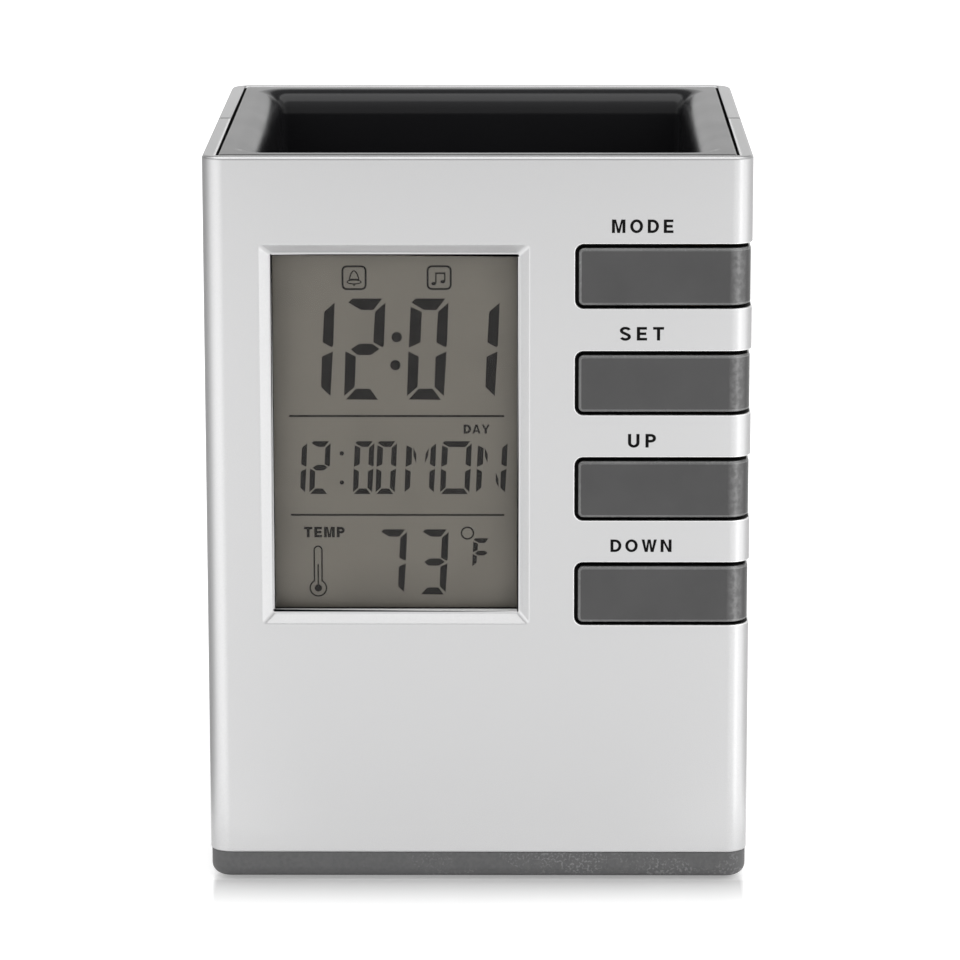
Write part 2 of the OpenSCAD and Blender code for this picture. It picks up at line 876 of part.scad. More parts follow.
// Door under the cells, with a round rear edge on its hinge line and two tabs that hook into the base
module battery_door() {
    color("dimgray")
        translate([0, mid_y, 0]) {
            translate([-door_half_x, -door_half_y, door_z])
                cube([2 * door_half_x, door_half_y + hinge_y, door_t]);
            translate([-door_half_x, hinge_y, hinge_z])
                rotate([0, 90, 0])
                    cylinder(r = door_t / 2, h = 2 * door_half_x);
            for (x = [-1, 1])
                translate([x * tab_x - tab_w / 2, 0, 0]) {
                    translate([0, box_in_y - tab_len, hinge_z])
                        cube([tab_w, tab_len - case_gap, tab_lift + tab_t - hinge_z]);
                    translate([0, box_in_y - tab_len, tab_lift])
                        cube([tab_w, tab_len + door_lap + tab_len, tab_t]);
                }
            for (i = [0 : grip_count - 1])
                translate([-grip_len / 2, grip_in + grip_pitch * i - door_half_y, door_z - grip_h])
                    cube([grip_len, grip_w, grip_h + eps]);
        }
}

module rubber_feet() {
    color([0.12, 0.12, 0.12])
        translate([0, mid_y, 0])
            each_corner(foot_in)
                cylinder(r = foot_r, h = foot_t);
}

module base_screws() {
    color("gray")
        translate([0, mid_y, 0])
            each_corner(boss_in)
                case_screw(floor_z, shell_z + screw_reach);
}

module cup_screws() {
    color("gray")
        translate([0, mid_y, 0])
            for (x = [-1, 1])
                translate([x * pillar_x, 0, 0])
                    case_screw(floor_z, pillar_top + screw_reach);
}

module lens() {
    color([0.8, 0.85, 0.85, 0.4])
        translate([0, mid_y, 0])
            behind_front(lens_front, lens_back)
                translate([window_x, window_z])
                    square([lens_w, lens_h], center = true);
}

module lcd_glass() {
    color([0.46, 0.44, 0.4])
        translate([0, mid_y, 0])
            behind_front(lcd_front, lcd_back)
                translate([window_x, window_z])
                    square([lcd_w, lcd_h], center = true);
}

module lcd_frame() {
    color("white")
        translate([0, mid_y, 0])
            translate([window_x, 0, window_z])
                difference() {
                    behind_front(wall, board_front)
                        square([frame_w, frame_h], center = true);
                    behind_front(wall - over, lcd_back)
                        square([lcd_w + 2 * seat_gap, lcd_h + 2 * seat_gap], center = true);
                    behind_front(wall, board_front + over)
                        square([lcd_w - 2 * frame_rest, frame_view_h], center = true);
                    for (s = [-1, 1])
                        behind_front(wall, board_front + over)
                            translate([0, s * strip_z])
                                square([strip_len + 2 * seat_gap, strip_w + 2 * seat_gap], center = true);
                }
}

// Rubber contact strip between the display and the board; side is 1 above and -1 below
module contact_strip(side) {
    translate([0, mid_y, 0])
        behind_front(lcd_back, board_front)
            translate([window_x, window_z + side * strip_z])
                square([strip_len, strip_w], center = true);
}
module upper_strip() {
    color("pink")
        contact_strip(1);
}
module lower_strip() {
    color("pink")
        contact_strip(-1);
}

module circuit_board() {
    color("peru")
        translate([0, mid_y, 0])
            behind_front(board_front, board_back)
                difference() {
                    union() {
                        translate([board_x0, board_z0])
                            square([board_x1 - board_x0, board_z1 - board_z0]);
                        translate([-board_tongue_w / 2, board_tongue_z0])
                            square([board_tongue_w, board_z0 - board_tongue_z0 + over]);
                    }
                    for (x = [board_boss_left, board_boss_right], z = board_boss_z)
                        translate([x, z])
                            circle(board_hole_r);
                }
}

module board_screws() {
    color("gray")
        translate([0, mid_y, 0])
            for (x = [board_boss_left, board_boss_right], z = board_boss_z) {
                pin_behind_front(x, z, board_head_r, board_back, board_back + board_head_h);
                pin_behind_front(x, z, board_screw_r, wall + 2 * hole_spare, board_back + eps);
            }
}

// Epoxy drop over the clock's chip, on the back of the board below the cup
chip_r = 5;
chip_h = 1.2;
chip_x = -8;
chip_lift = 1;
chip_facets = 240;
chip_ball_r = (chip_r * chip_r + chip_h * chip_h) / (2 * chip_h);
chip_z = (board_tongue_z0 + cup_z) / 2 + chip_lift;
module clock_chip() {
    color([0.1, 0.1, 0.1])
        translate([chip_x, mid_y + board_y, chip_z])
            intersection() {
                translate([0, chip_h - chip_ball_r, 0])
                    sphere(chip_ball_r, $fn = chip_facets);
                translate([-chip_r, 0, -chip_r])
                    cube(2 * chip_r);
            }
}

// Small part that stands off the back of the board on two leads
pin_r = 0.22;
pin_stand = 0.6;
body_front = board_back + pin_stand;
crystal_r = 1;
crystal_len = 6;
crystal_pins = 0.5;
crystal_x = 0;
crystal_z = chip_z - 3;
capacitor_r = 2;
capacitor_len = 7;
capacitor_pins = 1;
capacitor_x = 15;
capacitor_z = chip_z - 2;
bead_r = 1.3;
bead_pins = 0.6;
bead_stand = 5;
bead_x = 22;
module on_leads(x, z, stand, spread) {
    translate([x, mid_y, z]) {
        for (s = [-1, 1])
            pin_behind_front(s * spread, 0, pin_r, board_back, board_back + stand + eps);
        children();
    }
}
module crystal() {
    color("lightgray")
        on_leads(crystal_x, crystal_z, pin_stand, crystal_pins)
            pin_behind_front(0, 0, crystal_r, body_front, body_front + crystal_len);
}
module capacitor() {
    color([0.15, 0.2, 0.35])
        on_leads(capacitor_x, capacitor_z, pin_stand, capacitor_pins)
            pin_behind_front(0, 0, capacitor_r, body_front, body_front + capacitor_len);
}
module thermistor() {
    color([0.2, 0.25, 0.2])
        on_leads(bead_x, capacitor_z, bead_stand, bead_pins)
            translate([0, board_y + bead_stand + bead_r / 2, 0])
                sphere(bead_r);
}

// Plan of a key: a plate on the front that turns the right corner and runs back along the side
module key_plan() {
    difference() {
        union() {
            translate([key_x0, -key_proud])
                square([key_x1 - corner_r - key_x0, key_side_len + key_proud]);
            translate([key_x1 - corner_r, corner_r - key_proud])
                circle(corner_r);
            translate([key_x1 - corner_r, corner_r - key_proud])
                square([corner_r, key_side_len + key_proud - corner_r]);
        }
        translate([key_x0 - over, key_flat])
            square([key_x1 - key_wall - key_x0 + over, key_side_len]);
    }
}

// A key, with the flange that keeps it in and the post that meets its switch
module key() {
    difference() {
        union() {
            intersection() {
                translate([0, -half_d, 0])
                    linear_extrude(key_h, center = true)
                        key_plan();
                behind_front(-over, key_side_len + over)
                    rounded_between(key_x0, -key_h / 2, case_w, key_h / 2, key_r);
                across(0, case_w)
                    translate([-half_d, 0])
                        rounded_between(-case_d / 4, -key_h / 2, key_side_len, key_h / 2, key_r);
            }
            behind_front(key_flat - eps, flange_back)
                translate([flange_x0, -flange_h / 2])
                    square([flange_x1 - flange_x0, flange_h]);
        }
        behind_front(key_web, flange_back + over)
            difference() {
                translate([key_x0 + key_web, key_web - key_h / 2])
                    square([flange_x1 - key_x0 - 2 * key_web, key_h - 2 * key_web]);
                translate([switch_x, 0])
                    circle(plunger_r);
            }
    }
}
module button(i) {
    color([0.33, 0.33, 0.33])
        translate([0, mid_y, key_z(i)])
            key();
}
module mode_button() {
    button(0);
}
module set_button() {
    button(1);
}
module up_button() {
    button(2);
}
module down_button() {
    button(3);
}

// Switch behind a key: a square body with a bore for its plunger
plunger_in = 1;
module switch_body_at(i) {
    color([0.2, 0.2, 0.2])
        translate([switch_x, mid_y, key_z(i)])
            difference() {
                behind_front(board_front - switch_body, board_front)
                    square(switch_w, center = true);
                pin_behind_front(0, 0, plunger_r + seat_gap, board_front - switch_body - over,
                    board_front - switch_body + plunger_in + key_travel + seat_gap);
            }
}
module plunger(i) {
    color([0.15, 0.15, 0.15])
        translate([0, mid_y, key_z(i)])
            pin_behind_front(switch_x, 0, plunger_r, flange_back, board_front - switch_body + plunger_in);
}
module mode_switch() {
    switch_body_at(0);
}
module set_switch() {
    switch_body_at(1);
}
module up_switch() {
    switch_body_at(2);
}
module down_switch() {
    switch_body_at(3);
}
module mode_plunger() {
    plunger(0);
}
module set_plunger() {
    plunger(1);
}
module up_plunger() {
    plunger(2);
}
module down_plunger() {
    plunger(3);
}

// A cell along X with its button towards side: -1 is left and 1 is right
module cell(side) {
    end = side * (box_in_x - contact_t);
    translate([end, mid_y + side * cell_pitch / 2, cell_z])
        rotate([0, -90 * side, 0]) {
            cylinder(r = cell_nub_r, h = cell_nub_h + eps);
            translate([0, 0, cell_nub_h])
                cylinder(r = cell_r, h = cell_len - cell_nub_h);
        }
}
module front_cell() {
    color("dimgray")
        cell(-1);
}
module rear_cell() {
    color("dimgray")
        cell(1);
}

// Contact plate at the left end with a tag up through the roof; side is -1 at the front and 1 at the rear
module tagged_plate(side) {
    translate([-box_in_x, mid_y + side * cell_pitch / 2, 0]) {
        translate([0, -plate_w / 2, cell_z - plate_w / 2])
            cube([contact_t, plate_w, plate_w]);
        translate([0, -tag_w / 2, cell_z])
            cube([contact_t, tag_w, box_top + tag_h - cell_z]);
    }
}
module positive_plate() {
    color("lightgray")
        tagged_plate(-1);
}
module negative_plate() {
    color("lightgray")
        tagged_plate(1);
}
module bridge_plate() {
    color("lightgray")
        translate([box_in_x - contact_t, mid_y - (cell_pitch + plate_w) / 2, cell_z - plate_w / 2])
            cube([contact_t, cell_pitch + plate_w, plate_w]);
}
module negative_spring() {
    color("lightgray")
        translate([contact_t - box_in_x, mid_y + cell_pitch / 2, cell_z])
            contact_spring(spring_room);
}
module bridge_spring() {
    color("lightgray")
        translate([box_in_x - contact_t, mid_y - cell_pitch / 2, cell_z])
            rotate(180)
                contact_spring(spring_room);
}

module red_lead() {
    color("red")
        translate([0, mid_y, 0])
            wire(red_route, lead_r);
}
module black_lead() {
    color("black")
        translate([0, mid_y, 0])
            wire(black_route, lead_r);
}

module sounder_disc() {
    color("goldenrod")
        translate([0, mid_y, 0])
            behind_front(half_d + sounder_y - sounder_t, half_d + sounder_y)
                translate([0, sounder_z])
                    circle(sounder_r);
}
module sounder_ceramic() {
    color("whitesmoke")
        translate([0, mid_y, 0])
            behind_front(half_d + sounder_y - sounder_t - ceramic_t, half_d + sounder_y - sounder_t)
                translate([0, sounder_z])
                    circle(ceramic_r);
}
module sounder_disc_lead() {
    color("black")
        translate([0, mid_y, 0])
            wire(disc_route, lead_r);
}
module sounder_ceramic_lead() {
    color("red")
        translate([0, mid_y, 0])
            wire(ceramic_route, lead_r);
}

front_shell();
rear_shell();
pen_cup();
base();
battery_door();
rubber_feet();
base_screws();
cup_screws();
lens();
lcd_glass();
lcd_frame();
upper_strip();
lower_strip();
circuit_board();
board_screws();
clock_chip();
crystal();
capacitor();
thermistor();
mode_button();
set_button();
up_button();
down_button();
mode_switch();
set_switch();
up_switch();
down_switch();
mode_plunger();
set_plunger();
up_plunger();
down_plunger();
front_cell();
rear_cell();
positive_plate();
negative_plate();
bridge_plate();
negative_spring();
bridge_spring();
red_lead();
black_lead();
sounder_disc();
sounder_ceramic();
sounder_disc_lead();
sounder_ceramic_lead();
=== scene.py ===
# %% [markdown]
# # A pen holder clock
# This is a desk cup with a clock in its front: two silver shells, a gloss black cup inside them, four
# grey keys that turn the right-hand corner, and a thin dark base. The engineering model already holds
# every piece at its true size, so this lesson only dresses it. We load it first. The dressed clock
# has to stay inside that box.

# %% Load the imported model
import json
import math

import bmesh
import bpy
from mathutils import Matrix, Vector

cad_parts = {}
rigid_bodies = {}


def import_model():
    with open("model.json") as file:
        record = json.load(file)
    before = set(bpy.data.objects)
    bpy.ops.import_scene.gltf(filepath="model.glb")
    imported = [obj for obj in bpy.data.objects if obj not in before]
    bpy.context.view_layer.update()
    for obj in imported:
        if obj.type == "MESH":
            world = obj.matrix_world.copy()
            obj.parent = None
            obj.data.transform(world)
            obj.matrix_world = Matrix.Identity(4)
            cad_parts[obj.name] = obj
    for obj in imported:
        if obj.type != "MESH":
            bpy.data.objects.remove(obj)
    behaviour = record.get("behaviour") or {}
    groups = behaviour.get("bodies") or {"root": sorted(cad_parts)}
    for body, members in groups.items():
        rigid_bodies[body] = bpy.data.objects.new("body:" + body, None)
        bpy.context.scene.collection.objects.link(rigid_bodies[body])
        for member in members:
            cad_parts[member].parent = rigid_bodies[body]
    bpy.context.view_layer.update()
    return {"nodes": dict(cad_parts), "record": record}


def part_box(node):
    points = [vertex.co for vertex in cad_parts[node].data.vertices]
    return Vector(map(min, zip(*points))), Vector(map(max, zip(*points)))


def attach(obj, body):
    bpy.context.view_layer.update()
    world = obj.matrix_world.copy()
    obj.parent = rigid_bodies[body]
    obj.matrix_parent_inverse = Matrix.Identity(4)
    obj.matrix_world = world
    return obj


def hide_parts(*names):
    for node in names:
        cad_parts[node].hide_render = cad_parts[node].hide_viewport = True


for leftover in list(bpy.data.objects):
    bpy.data.objects.remove(leftover)
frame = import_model()
nodes = frame["nodes"]
body_of_node = {n: b for b, held in frame["record"]["behaviour"]["bodies"].items() for n in held}
slot_of_node = {s["node"]: s["material_slot"] for s in frame["record"]["subparts"]}
MM = 0.001

# %% [markdown]
# ## The camera
# The picture looks at the display from the front and about twelve degrees above, from 0.7 m away.
# We could place the camera by eye, but the edges of a square case give its place exactly, so the
# solved place, tilt and focal length are simply written down here.

# %% Camera
scene = bpy.context.scene
eye = Vector((5.3, -704.575, 206.7)) * MM
look_down = math.radians(12.35)
look_left = math.radians(0.429)
lean = math.radians(-0.061)
camera = bpy.data.objects.new("camera", bpy.data.cameras.new("camera"))
camera.data.sensor_width = 36
camera.data.lens = 174.3
camera.data.clip_end = 20
camera.matrix_world = (
    Matrix.Translation(eye)
    @ Matrix.Rotation(look_left, 4, "Z")
    @ Matrix.Rotation(math.pi / 2 - look_down, 4, "X")
    @ Matrix.Rotation(lean, 4, "Z")
)
scene.collection.objects.link(camera)
scene.camera = camera
scene.view_settings.view_transform = "Standard"
print("camera", [round(v, 3) for v in eye], "lens", camera.data.lens)

# %% [markdown]
# ## Helpers for materials
# Every finish below is a Principled shader with patterns wired into it. We could join the nodes by hand
# in the shader editor, but a few short helpers make each finish readable here: one adds a node, one
# plugs a number, a tint or another node's output into an input, and one starts a new material. A node
# and its sockets know their own tree of nodes by the name id_data.

# %% Material helpers
def plug(socket, value):
    """Gives an input a number, a tint or the output of another node."""
    if isinstance(value, bpy.types.NodeSocket):
        socket.id_data.links.new(value, socket)
    else:
        socket.default_value = value


def feed(node, **values):
    """Plugs values into inputs by name; an underscore stands for a space."""
    for key, value in values.items():
        plug(node.inputs[key.replace("_", " ")], value)


def add(tree, kind, settings=None, **inputs):
    node = tree.nodes.new("ShaderNode" + kind)
    for key, value in (settings or {}).items():
        setattr(node, key, value)
    feed(node, **inputs)
    return node


def new_finish(name):
    material = bpy.data.materials.new(name)
    material.use_nodes = True
    tree = material.node_tree
    place = add(tree, "TexCoord").outputs["Object"]
    return material, tree.nodes["Principled BSDF"], place


def surface(node):
    """Shows a shader of our own in place of the Principled one."""
    feed(node.id_data.nodes["Material Output"], Surface=node.outputs[0])


def dress_node(name, finish):
    """Gives a finish to a node that is shown as it is."""
    mesh = nodes[name].data
    mesh.materials.clear()
    mesh.materials.append(finish)


print("material helpers ready")

# %% [markdown]
# ## Patterns
# Patterns read the Object coordinates, which here are metres in the clock's own frame, so a noise with
# a scale of 5000 means a grain of about 0.2 mm. These helpers do a sum, stretch a noise between two
# levels, blend two tints, mix two shaders and turn a pattern into a bump.

# %% Pattern helpers
def reckon(operation, *values):
    node = add(values[0].id_data, "Math", {"operation": operation})
    for socket, value in zip(node.inputs, values):
        plug(socket, value)
    return node.outputs[0]


def times(first, second):
    return reckon("MULTIPLY", first, second)


def axes(place):
    return add(place.id_data, "SeparateXYZ", Vector=place).outputs


def noise(place, scale, detail):
    return add(place.id_data, "TexNoise", Vector=place, Scale=scale, Detail=detail).outputs["Fac"]


def spread(value, low, high, start=0.3, end=0.7):
    """Turns a value between start and end into one between low and high."""
    limits = {"From_Min": start, "From_Max": end, "To_Min": low, "To_Max": high}
    return add(value.id_data, "MapRange", Value=value, **limits).outputs["Result"]


def blend(value, *tints):
    """Blends two tints; a tint that is one number is a grey."""
    node = add(value.id_data, "Mix", {"data_type": "RGBA"})
    plug(node.inputs[0], value)
    for number, tint in zip((6, 7), tints):
        plug(node.inputs[number], (tint, tint, tint, 1) if isinstance(tint, float) else (*tint, 1))
    return node.outputs[2]


def bump(shader, value, strength, depth_mm):
    node = add(shader.id_data, "Bump", Strength=strength, Distance=depth_mm * MM, Height=value)
    feed(shader, Normal=node.outputs["Normal"])


def mixed_surface(share, first, second):
    node = add(share.id_data, "MixShader")
    for socket, value in zip(node.inputs, (share, first.outputs[0], second.outputs[0])):
        plug(socket, value)
    surface(node)


print("pattern helpers ready")

# %% [markdown]
# ## White surroundings
# The picture's background is white. White could come from stronger lamps, but those would bleach the
# silver case. So the world is fully white only for rays that see it directly, in a mirror or through
# the lens, and it lights matt surfaces at about half of that.

# %% World
def seen_directly(tree):
    path = add(tree, "LightPath").outputs
    value = path["Is Camera Ray"]
    for other in ("Is Glossy Ray", "Is Transmission Ray"):
        value = reckon("MAXIMUM", value, path[other])
    return value


world = bpy.data.worlds.new("white_studio")
world.use_nodes = True
scene.world = world
sky = world.node_tree
feed(sky.nodes["Background"], Color=(1, 1, 1, 1), Strength=spread(seen_directly(sky), 0.55, 1.0, 0, 1))
print("world:", world.name)

# %% [markdown]
# ## White table
# The clock stands on a white table that mirrors the bottom few millimetres of it, as a sheet of satin
# acrylic would. The mirror fades with the distance from the base, and only the strip in front has it.
# A table white enough for the picture would light the case from below, so its white is a glow that
# only the camera and reflections see. Both glows grow with the distance from the clock, which far off is
# painted light making up for the lamps' fall-off, and an extra glow beside the clock paints light over
# its shadow there. All distances here are metres from the clock's middle.

# %% Table
STRIP_FRONT, STRIP_ENDS, MIRROR_FADE = (-0.040, -0.036), (0.0389, 0.0405), (0.040, 0.061)
CAMERA_GLOW, CAMERA_FADE = (0.40, 0.68), (0.10, 0.6)
SIDE_GLOW, SIDE_FADE = (0.0, 0.12), (0.041, 0.058)
MIRROR_GLOW, MIRROR_GLOW_FADE = (0.26, 0.64), (0.12, 0.6)
bpy.ops.mesh.primitive_plane_add(size=6, location=(0, 0, -0.02 * MM))
table = bpy.context.object
table.name = "table"
table_white, shader, place = new_finish("table_white")
across = axes(place)
sideways = reckon("ABSOLUTE", across["X"])
away = reckon("MAXIMUM", sideways, reckon("ABSOLUTE", across["Y"]))
tree = shader.id_data
by_camera = add(tree, "LightPath").outputs["Is Camera Ray"]
in_mirrors = reckon("SUBTRACT", seen_directly(tree), by_camera)
# Painted light: the glow grows away from the clock and rises again beside it, over the clock's shadow.
for_camera = reckon("ADD", spread(sideways, *SIDE_GLOW, *SIDE_FADE), spread(away, *CAMERA_GLOW, *CAMERA_FADE))
for_mirrors = spread(away, *MIRROR_GLOW, *MIRROR_GLOW_FADE)
white = reckon("ADD", times(by_camera, for_camera), times(in_mirrors, for_mirrors))
feed(shader, Base_Color=(0.8, 0.8, 0.8, 1), Roughness=0.6, Emission_Color=(1, 1, 1, 1), Emission_Strength=white)
in_front = times(spread(across["Y"], 1.0, 0.0, *STRIP_FRONT), spread(sideways, 1.0, 0.0, *STRIP_ENDS))
mirror_share = times(in_front, spread(away, 0.56, 0.0, *MIRROR_FADE))
mixed_surface(mirror_share, shader, add(tree, "BsdfGlossy", Roughness=0.06))
table.data.materials.append(table_white)
print("table:", table.name)

# %% [markdown]
# ## Soft boxes and cards
# Soft boxes are lamps with a large even face. Cards are sheets of paper that light nothing and are
# seen only in reflections; a number at each corner says how bright the paper is there. Both let us
# choose what the shiny parts mirror without changing the light on the matt ones.

# %% Lamp and card helpers
def soft_box(name, at, aim, width, height, glow, mirrored=True):
    lamp = bpy.data.lights.new(name, "AREA")
    lamp.shape = "RECTANGLE"
    lamp.size = width
    lamp.size_y = height
    lamp.energy = glow * math.pi * width * height
    box = bpy.data.objects.new(name, lamp)
    box.location = at
    box.rotation_euler = Vector(aim).to_track_quat("-Z", "Y").to_euler()
    box.visible_glossy = mirrored
    scene.collection.objects.link(box)


def card(name, corners, faces, glow):
    """A sheet that only reflections see; glow is its brightness at each corner."""
    mesh = bpy.data.meshes.new(name)
    mesh.from_pydata(corners, [], faces)
    mesh.attributes.new("glow", "FLOAT", "POINT").data.foreach_set("value", glow)
    sheet = bpy.data.objects.new(name, mesh)
    scene.collection.objects.link(sheet)
    for ray in ("camera", "diffuse", "shadow", "transmission"):
        setattr(sheet, "visible_" + ray, False)
    finish, shader, _ = new_finish(name)
    level = add(shader.id_data, "Attribute", {"attribute_name": "glow"}).outputs["Fac"]
    surface(add(shader.id_data, "Emission", Strength=level))
    mesh.materials.append(finish)


print("lamps and cards ready")

# %% [markdown]
# ## A paper tent
# The rounded corners of the case act as tall narrow mirrors. Each shows a white band and a grey line at
# its very edge, both even from top to bottom. In a studio a tent of paper round the clock does that. The
# tent here is a card in the form of a curved wall, with an apron on the table. Degrees to the clock's
# right are negative.

# %% Tent helper
BEHIND = 120  # from here on round the back the paper is even from top to bottom


def tent(profile, paper):
    """profile lists (radius, height, share of the light); paper lists (degrees from the front, light).

    The first row is square in plan, so that the apron stays clear of the table's mirror.
    """
    corners, glow, faces = [], [], []
    turns = range(-180, 181, 3)
    for turn in turns:
        (t0, g0), (t1, g1) = next(p for p in zip(paper, paper[1:]) if p[1][0] >= turn)
        level = g0 + (g1 - g0) * (turn - t0) / (t1 - t0)
        side, front = math.sin(math.radians(turn)), math.cos(math.radians(turn))
        for row, (radius, z, share) in enumerate(profile):
            out = radius if row else radius / max(abs(side), abs(front))
            corners.append((-out * side, -out * front, z))
            glow.append(level * (share if abs(turn) < BEHIND else 1))
    rows = len(profile)
    for i in range(len(turns) - 1):
        here, after = i * rows, (i + 1) * rows
        faces += [(here + k, after + k, after + k + 1, here + k + 1) for k in range(rows - 1)]
    card("tent", corners, faces, glow)


print("tent helper ready")

# %% [markdown]
# ## Placing the lights
# Two soft boxes at the sides light the front evenly, and one hangs overhead. The tent's paper is bright
# at the front corners and darker behind and above. The rolled black rim mirrors what is above: a dark
# room behind, the soft box overhead and a paler ceiling in front, so one card is dark and one paler.

# %% Lights
CEILING = 0.71
soft_box("left_box", (-0.27, -0.197, 0.26), (1, 0, 0), 0.32, 0.5, 1.65, mirrored=False)
soft_box("right_box", (0.27, -0.159, 0.26), (-1, 0, 0), 0.396, 0.5, 1.9, mirrored=False)
soft_box("top_box", (0, -0.045, CEILING), (0, 0, -1), 0.9, 0.51, 1.5)
CARDS = (("rear_card", 0.6, 0.374, 0.25, 0.2, 0.2), ("front_card", -0.62, 0.3, -0.31, 0.45, 0.8))
for name, low_y, low_z, high_y, low_glow, high_glow in CARDS:
    corners = [(-0.5, low_y, low_z), (0.5, low_y, low_z), (0.5, high_y, CEILING), (-0.5, high_y, CEILING)]
    card(name, corners, [(0, 1, 2, 3)], [low_glow, low_glow, high_glow, high_glow])
PROFILE = ((0.062, 0.0003, 0.91), (0.13, 0.0003, 0.98), (0.13, 0.06, 1.0), (0.13, 0.1, 0.93),
           (0.13, 0.112, 0.89), (0.13, 0.122, 0.42), (0.13, 0.17, 0.42))
PAPER = ((-180, 0.88), (-160, 0.85), (-102, 0.85), (-83, 1.12), (-71, 1.6), (-66, 1.85), (-60, 1.85), (-55, 1.7),
         (-53, 2.4), (-44, 2.4), (-42, 1.6), (-31, 1.6), (-26, 1.5), (-20, 1.32), (18, 1.32), (29, 1.58),
         (36, 1.85), (48, 1.79), (56, 1.63), (65, 1.28), (77, 0.72), (102, 0.42), (130, 0.55), (160, 0.85),
         (180, 0.88))
tent(PROFILE, PAPER)

# %% [markdown]
# ## Finding the outer skin
# Seen from above, the case, its inside, the cup's rim and the keys are squares with rounded corners.
# Which edges get rounded and which faces get paint depends on how far they lie from such an outline, so
# one sum answers that for all of them. An outline is its half width, half depth and corner radius in
# millimetres, and its middle lies a little behind the frame's, because the keys stand proud in front.

# %% Outlines
MID_Y = 0.225
OUTSIDE = (40.0, 40.0, 3.2)


def off_skin(point, half_x, half_y, radius):
    """Distance in mm, seen from above, from a rounded square's outline."""
    x = abs(point.x / MM) - (half_x - radius)
    y = abs(point.y / MM - MID_Y) - (half_y - radius)
    return math.hypot(max(x, 0), max(y, 0)) + min(max(x, y), 0) - radius


def lies_on(a, b, half_x, half_y, radius):
    return max(abs(off_skin(p, half_x, half_y, radius)) for p in (a, b)) < 0.03


print("outer skin at the front:", round(off_skin(Vector((0, MID_Y - 40, 0)) * MM, *OUTSIDE), 4))

# %% [markdown]
# ## Making room at the corners
# A flat face of the engineering mesh may carry a line that only divides it. Where such a line ends at a
# corner that is about to be rounded, the rounding would fold the face. We could cut the face into
# triangles, but moving the line's end a little along the edge keeps it large and flat.

# %% Corner helper
ROOM = 3 * MM
DIVIDING = math.radians(1)


def clear_corner(work, corner):
    """Moves each line that only divides a flat face away from a corner.

    It moves to the side with the narrower angle; on the other side the face could cover the window.
    """
    def from_corner(edge):
        return edge.other_vert(corner).co - corner.co

    while True:
        flat = [e for e in corner.link_edges if e.calc_face_angle(1) < DIVIDING]
        choices = [(from_corner(line).angle(from_corner(border)), number, line, border, face)
                   for number, line in enumerate(flat) for border in corner.link_edges if border not in flat
                   for face in line.link_faces if face in border.link_faces]
        if not choices:
            return
        _, _, line, border, face = min(choices, key=lambda choice: choice[:2])
        far = line.other_vert(corner)
        moved = bmesh.utils.edge_split(border, corner, min(0.5, ROOM / border.calc_length()))[1]
        bmesh.utils.face_split(face, moved, far)
        bmesh.ops.dissolve_edges(work, edges=[line], use_verts=False)


print("corner helper ready")

# %% [markdown]
# ## Easing the moulded edges
# No moulded edge is knife sharp: a tenth or two of a millimetre of rounding catches the light and
# makes a part look real. The engineering model has sharp slot and window edges, so we copy its mesh,
# melt the flat triangles back into whole faces, bevel the edges that lie on the outer skin, and let
# the copy stand in for the node. A plain bevel modifier would also round the thin lips inside and
# limit itself to the thinnest of them.

# %% Bevel helper
WELD = 0.002 * MM
FLAT, SHARP, CREASE = (math.radians(degrees) for degrees in (0.2, 32, 38))
WIDE_MM = 0.4  # wider roundings need room at the corners of the front
FRONT_Y = -39.7 * MM


def new_piece(work, name, finishes):
    mesh = bpy.data.meshes.new(name)
    work.to_mesh(mesh)
    work.free()
    for finish in finishes:
        mesh.materials.append(finish)
    piece = bpy.data.objects.new(name, mesh)
    scene.collection.objects.link(piece)
    return piece


def eased_copy(node, finishes, passes, edge_finish=-1):
    """Each pass is a width in mm, a number of steps and a function that chooses edges by their ends.

    Rounded edges wear the finish numbered edge_finish, or that of the faces beside them.
    """
    work = bmesh.new()
    work.from_mesh(nodes[node].data)
    bmesh.ops.remove_doubles(work, verts=work.verts, dist=WELD)
    bmesh.ops.dissolve_limit(work, angle_limit=FLAT, verts=work.verts, edges=work.edges)
    counts = []
    for width_mm, steps, choose in passes:
        edges = [e for e in work.edges if len(e.link_faces) == 2
                 and e.calc_face_angle(0) > SHARP and choose(e.verts[0].co, e.verts[1].co)]
        if width_mm > WIDE_MM:
            corners = {v for e in edges for v in e.verts if v.co.y < FRONT_Y}
            for corner in sorted(corners, key=lambda v: (v.co.x, v.co.z)):
                clear_corner(work, corner)
        bmesh.ops.bevel(work, geom=edges, offset=width_mm * MM, offset_type="OFFSET", segments=steps,
                        profile=0.5, affect="EDGES", clamp_overlap=False, material=edge_finish)
        counts.append(len(edges))
    work.normal_update()
    for face in work.faces:
        face.smooth = True
    for edge in work.edges:
        edge.smooth = edge.calc_face_angle(0) < CREASE
    piece = new_piece(work, node + "_eased", finishes)
    flat = piece.modifiers.new("flat_faces", "WEIGHTED_NORMAL")
    flat.keep_sharp = True
    flat.weight = 100
    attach(piece, body_of_node[node])
    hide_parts(node)
    print(node, "edges eased:", counts, "faces:", len(piece.data.polygons))
    return piece


print("bevel helper ready")

# %% [markdown]
# ## Silver finishes
# The shells are grey plastic under satin silver paint: fine metal flakes in a clear binder. A plain
# grey would look like cardboard and a plain metal like sheet steel, so the shader is mostly metallic
# and fairly smooth, with flakes of a tenth of a millimetre. The eased edges get a much paler tint, a
# painted highlight; behind the window's step the paint is thin and matt, and where it ends the raw
# plastic is made near black, a painted shade.

# %% Silver finishes
shell_paint, shader, place = new_finish("shell_paint")
flakes = noise(place, 9000, 2.0)
tint = blend(spread(flakes, 0, 1), (0.475, 0.475, 0.478), (0.535, 0.535, 0.538))
cloudy = spread(noise(place, 60, 4.0), 0.26, 0.33, 0.0, 1.0)
feed(shader, Base_Color=tint, Metallic=0.85, Roughness=cloudy)
bump(shader, flakes, 0.03, 0.02)
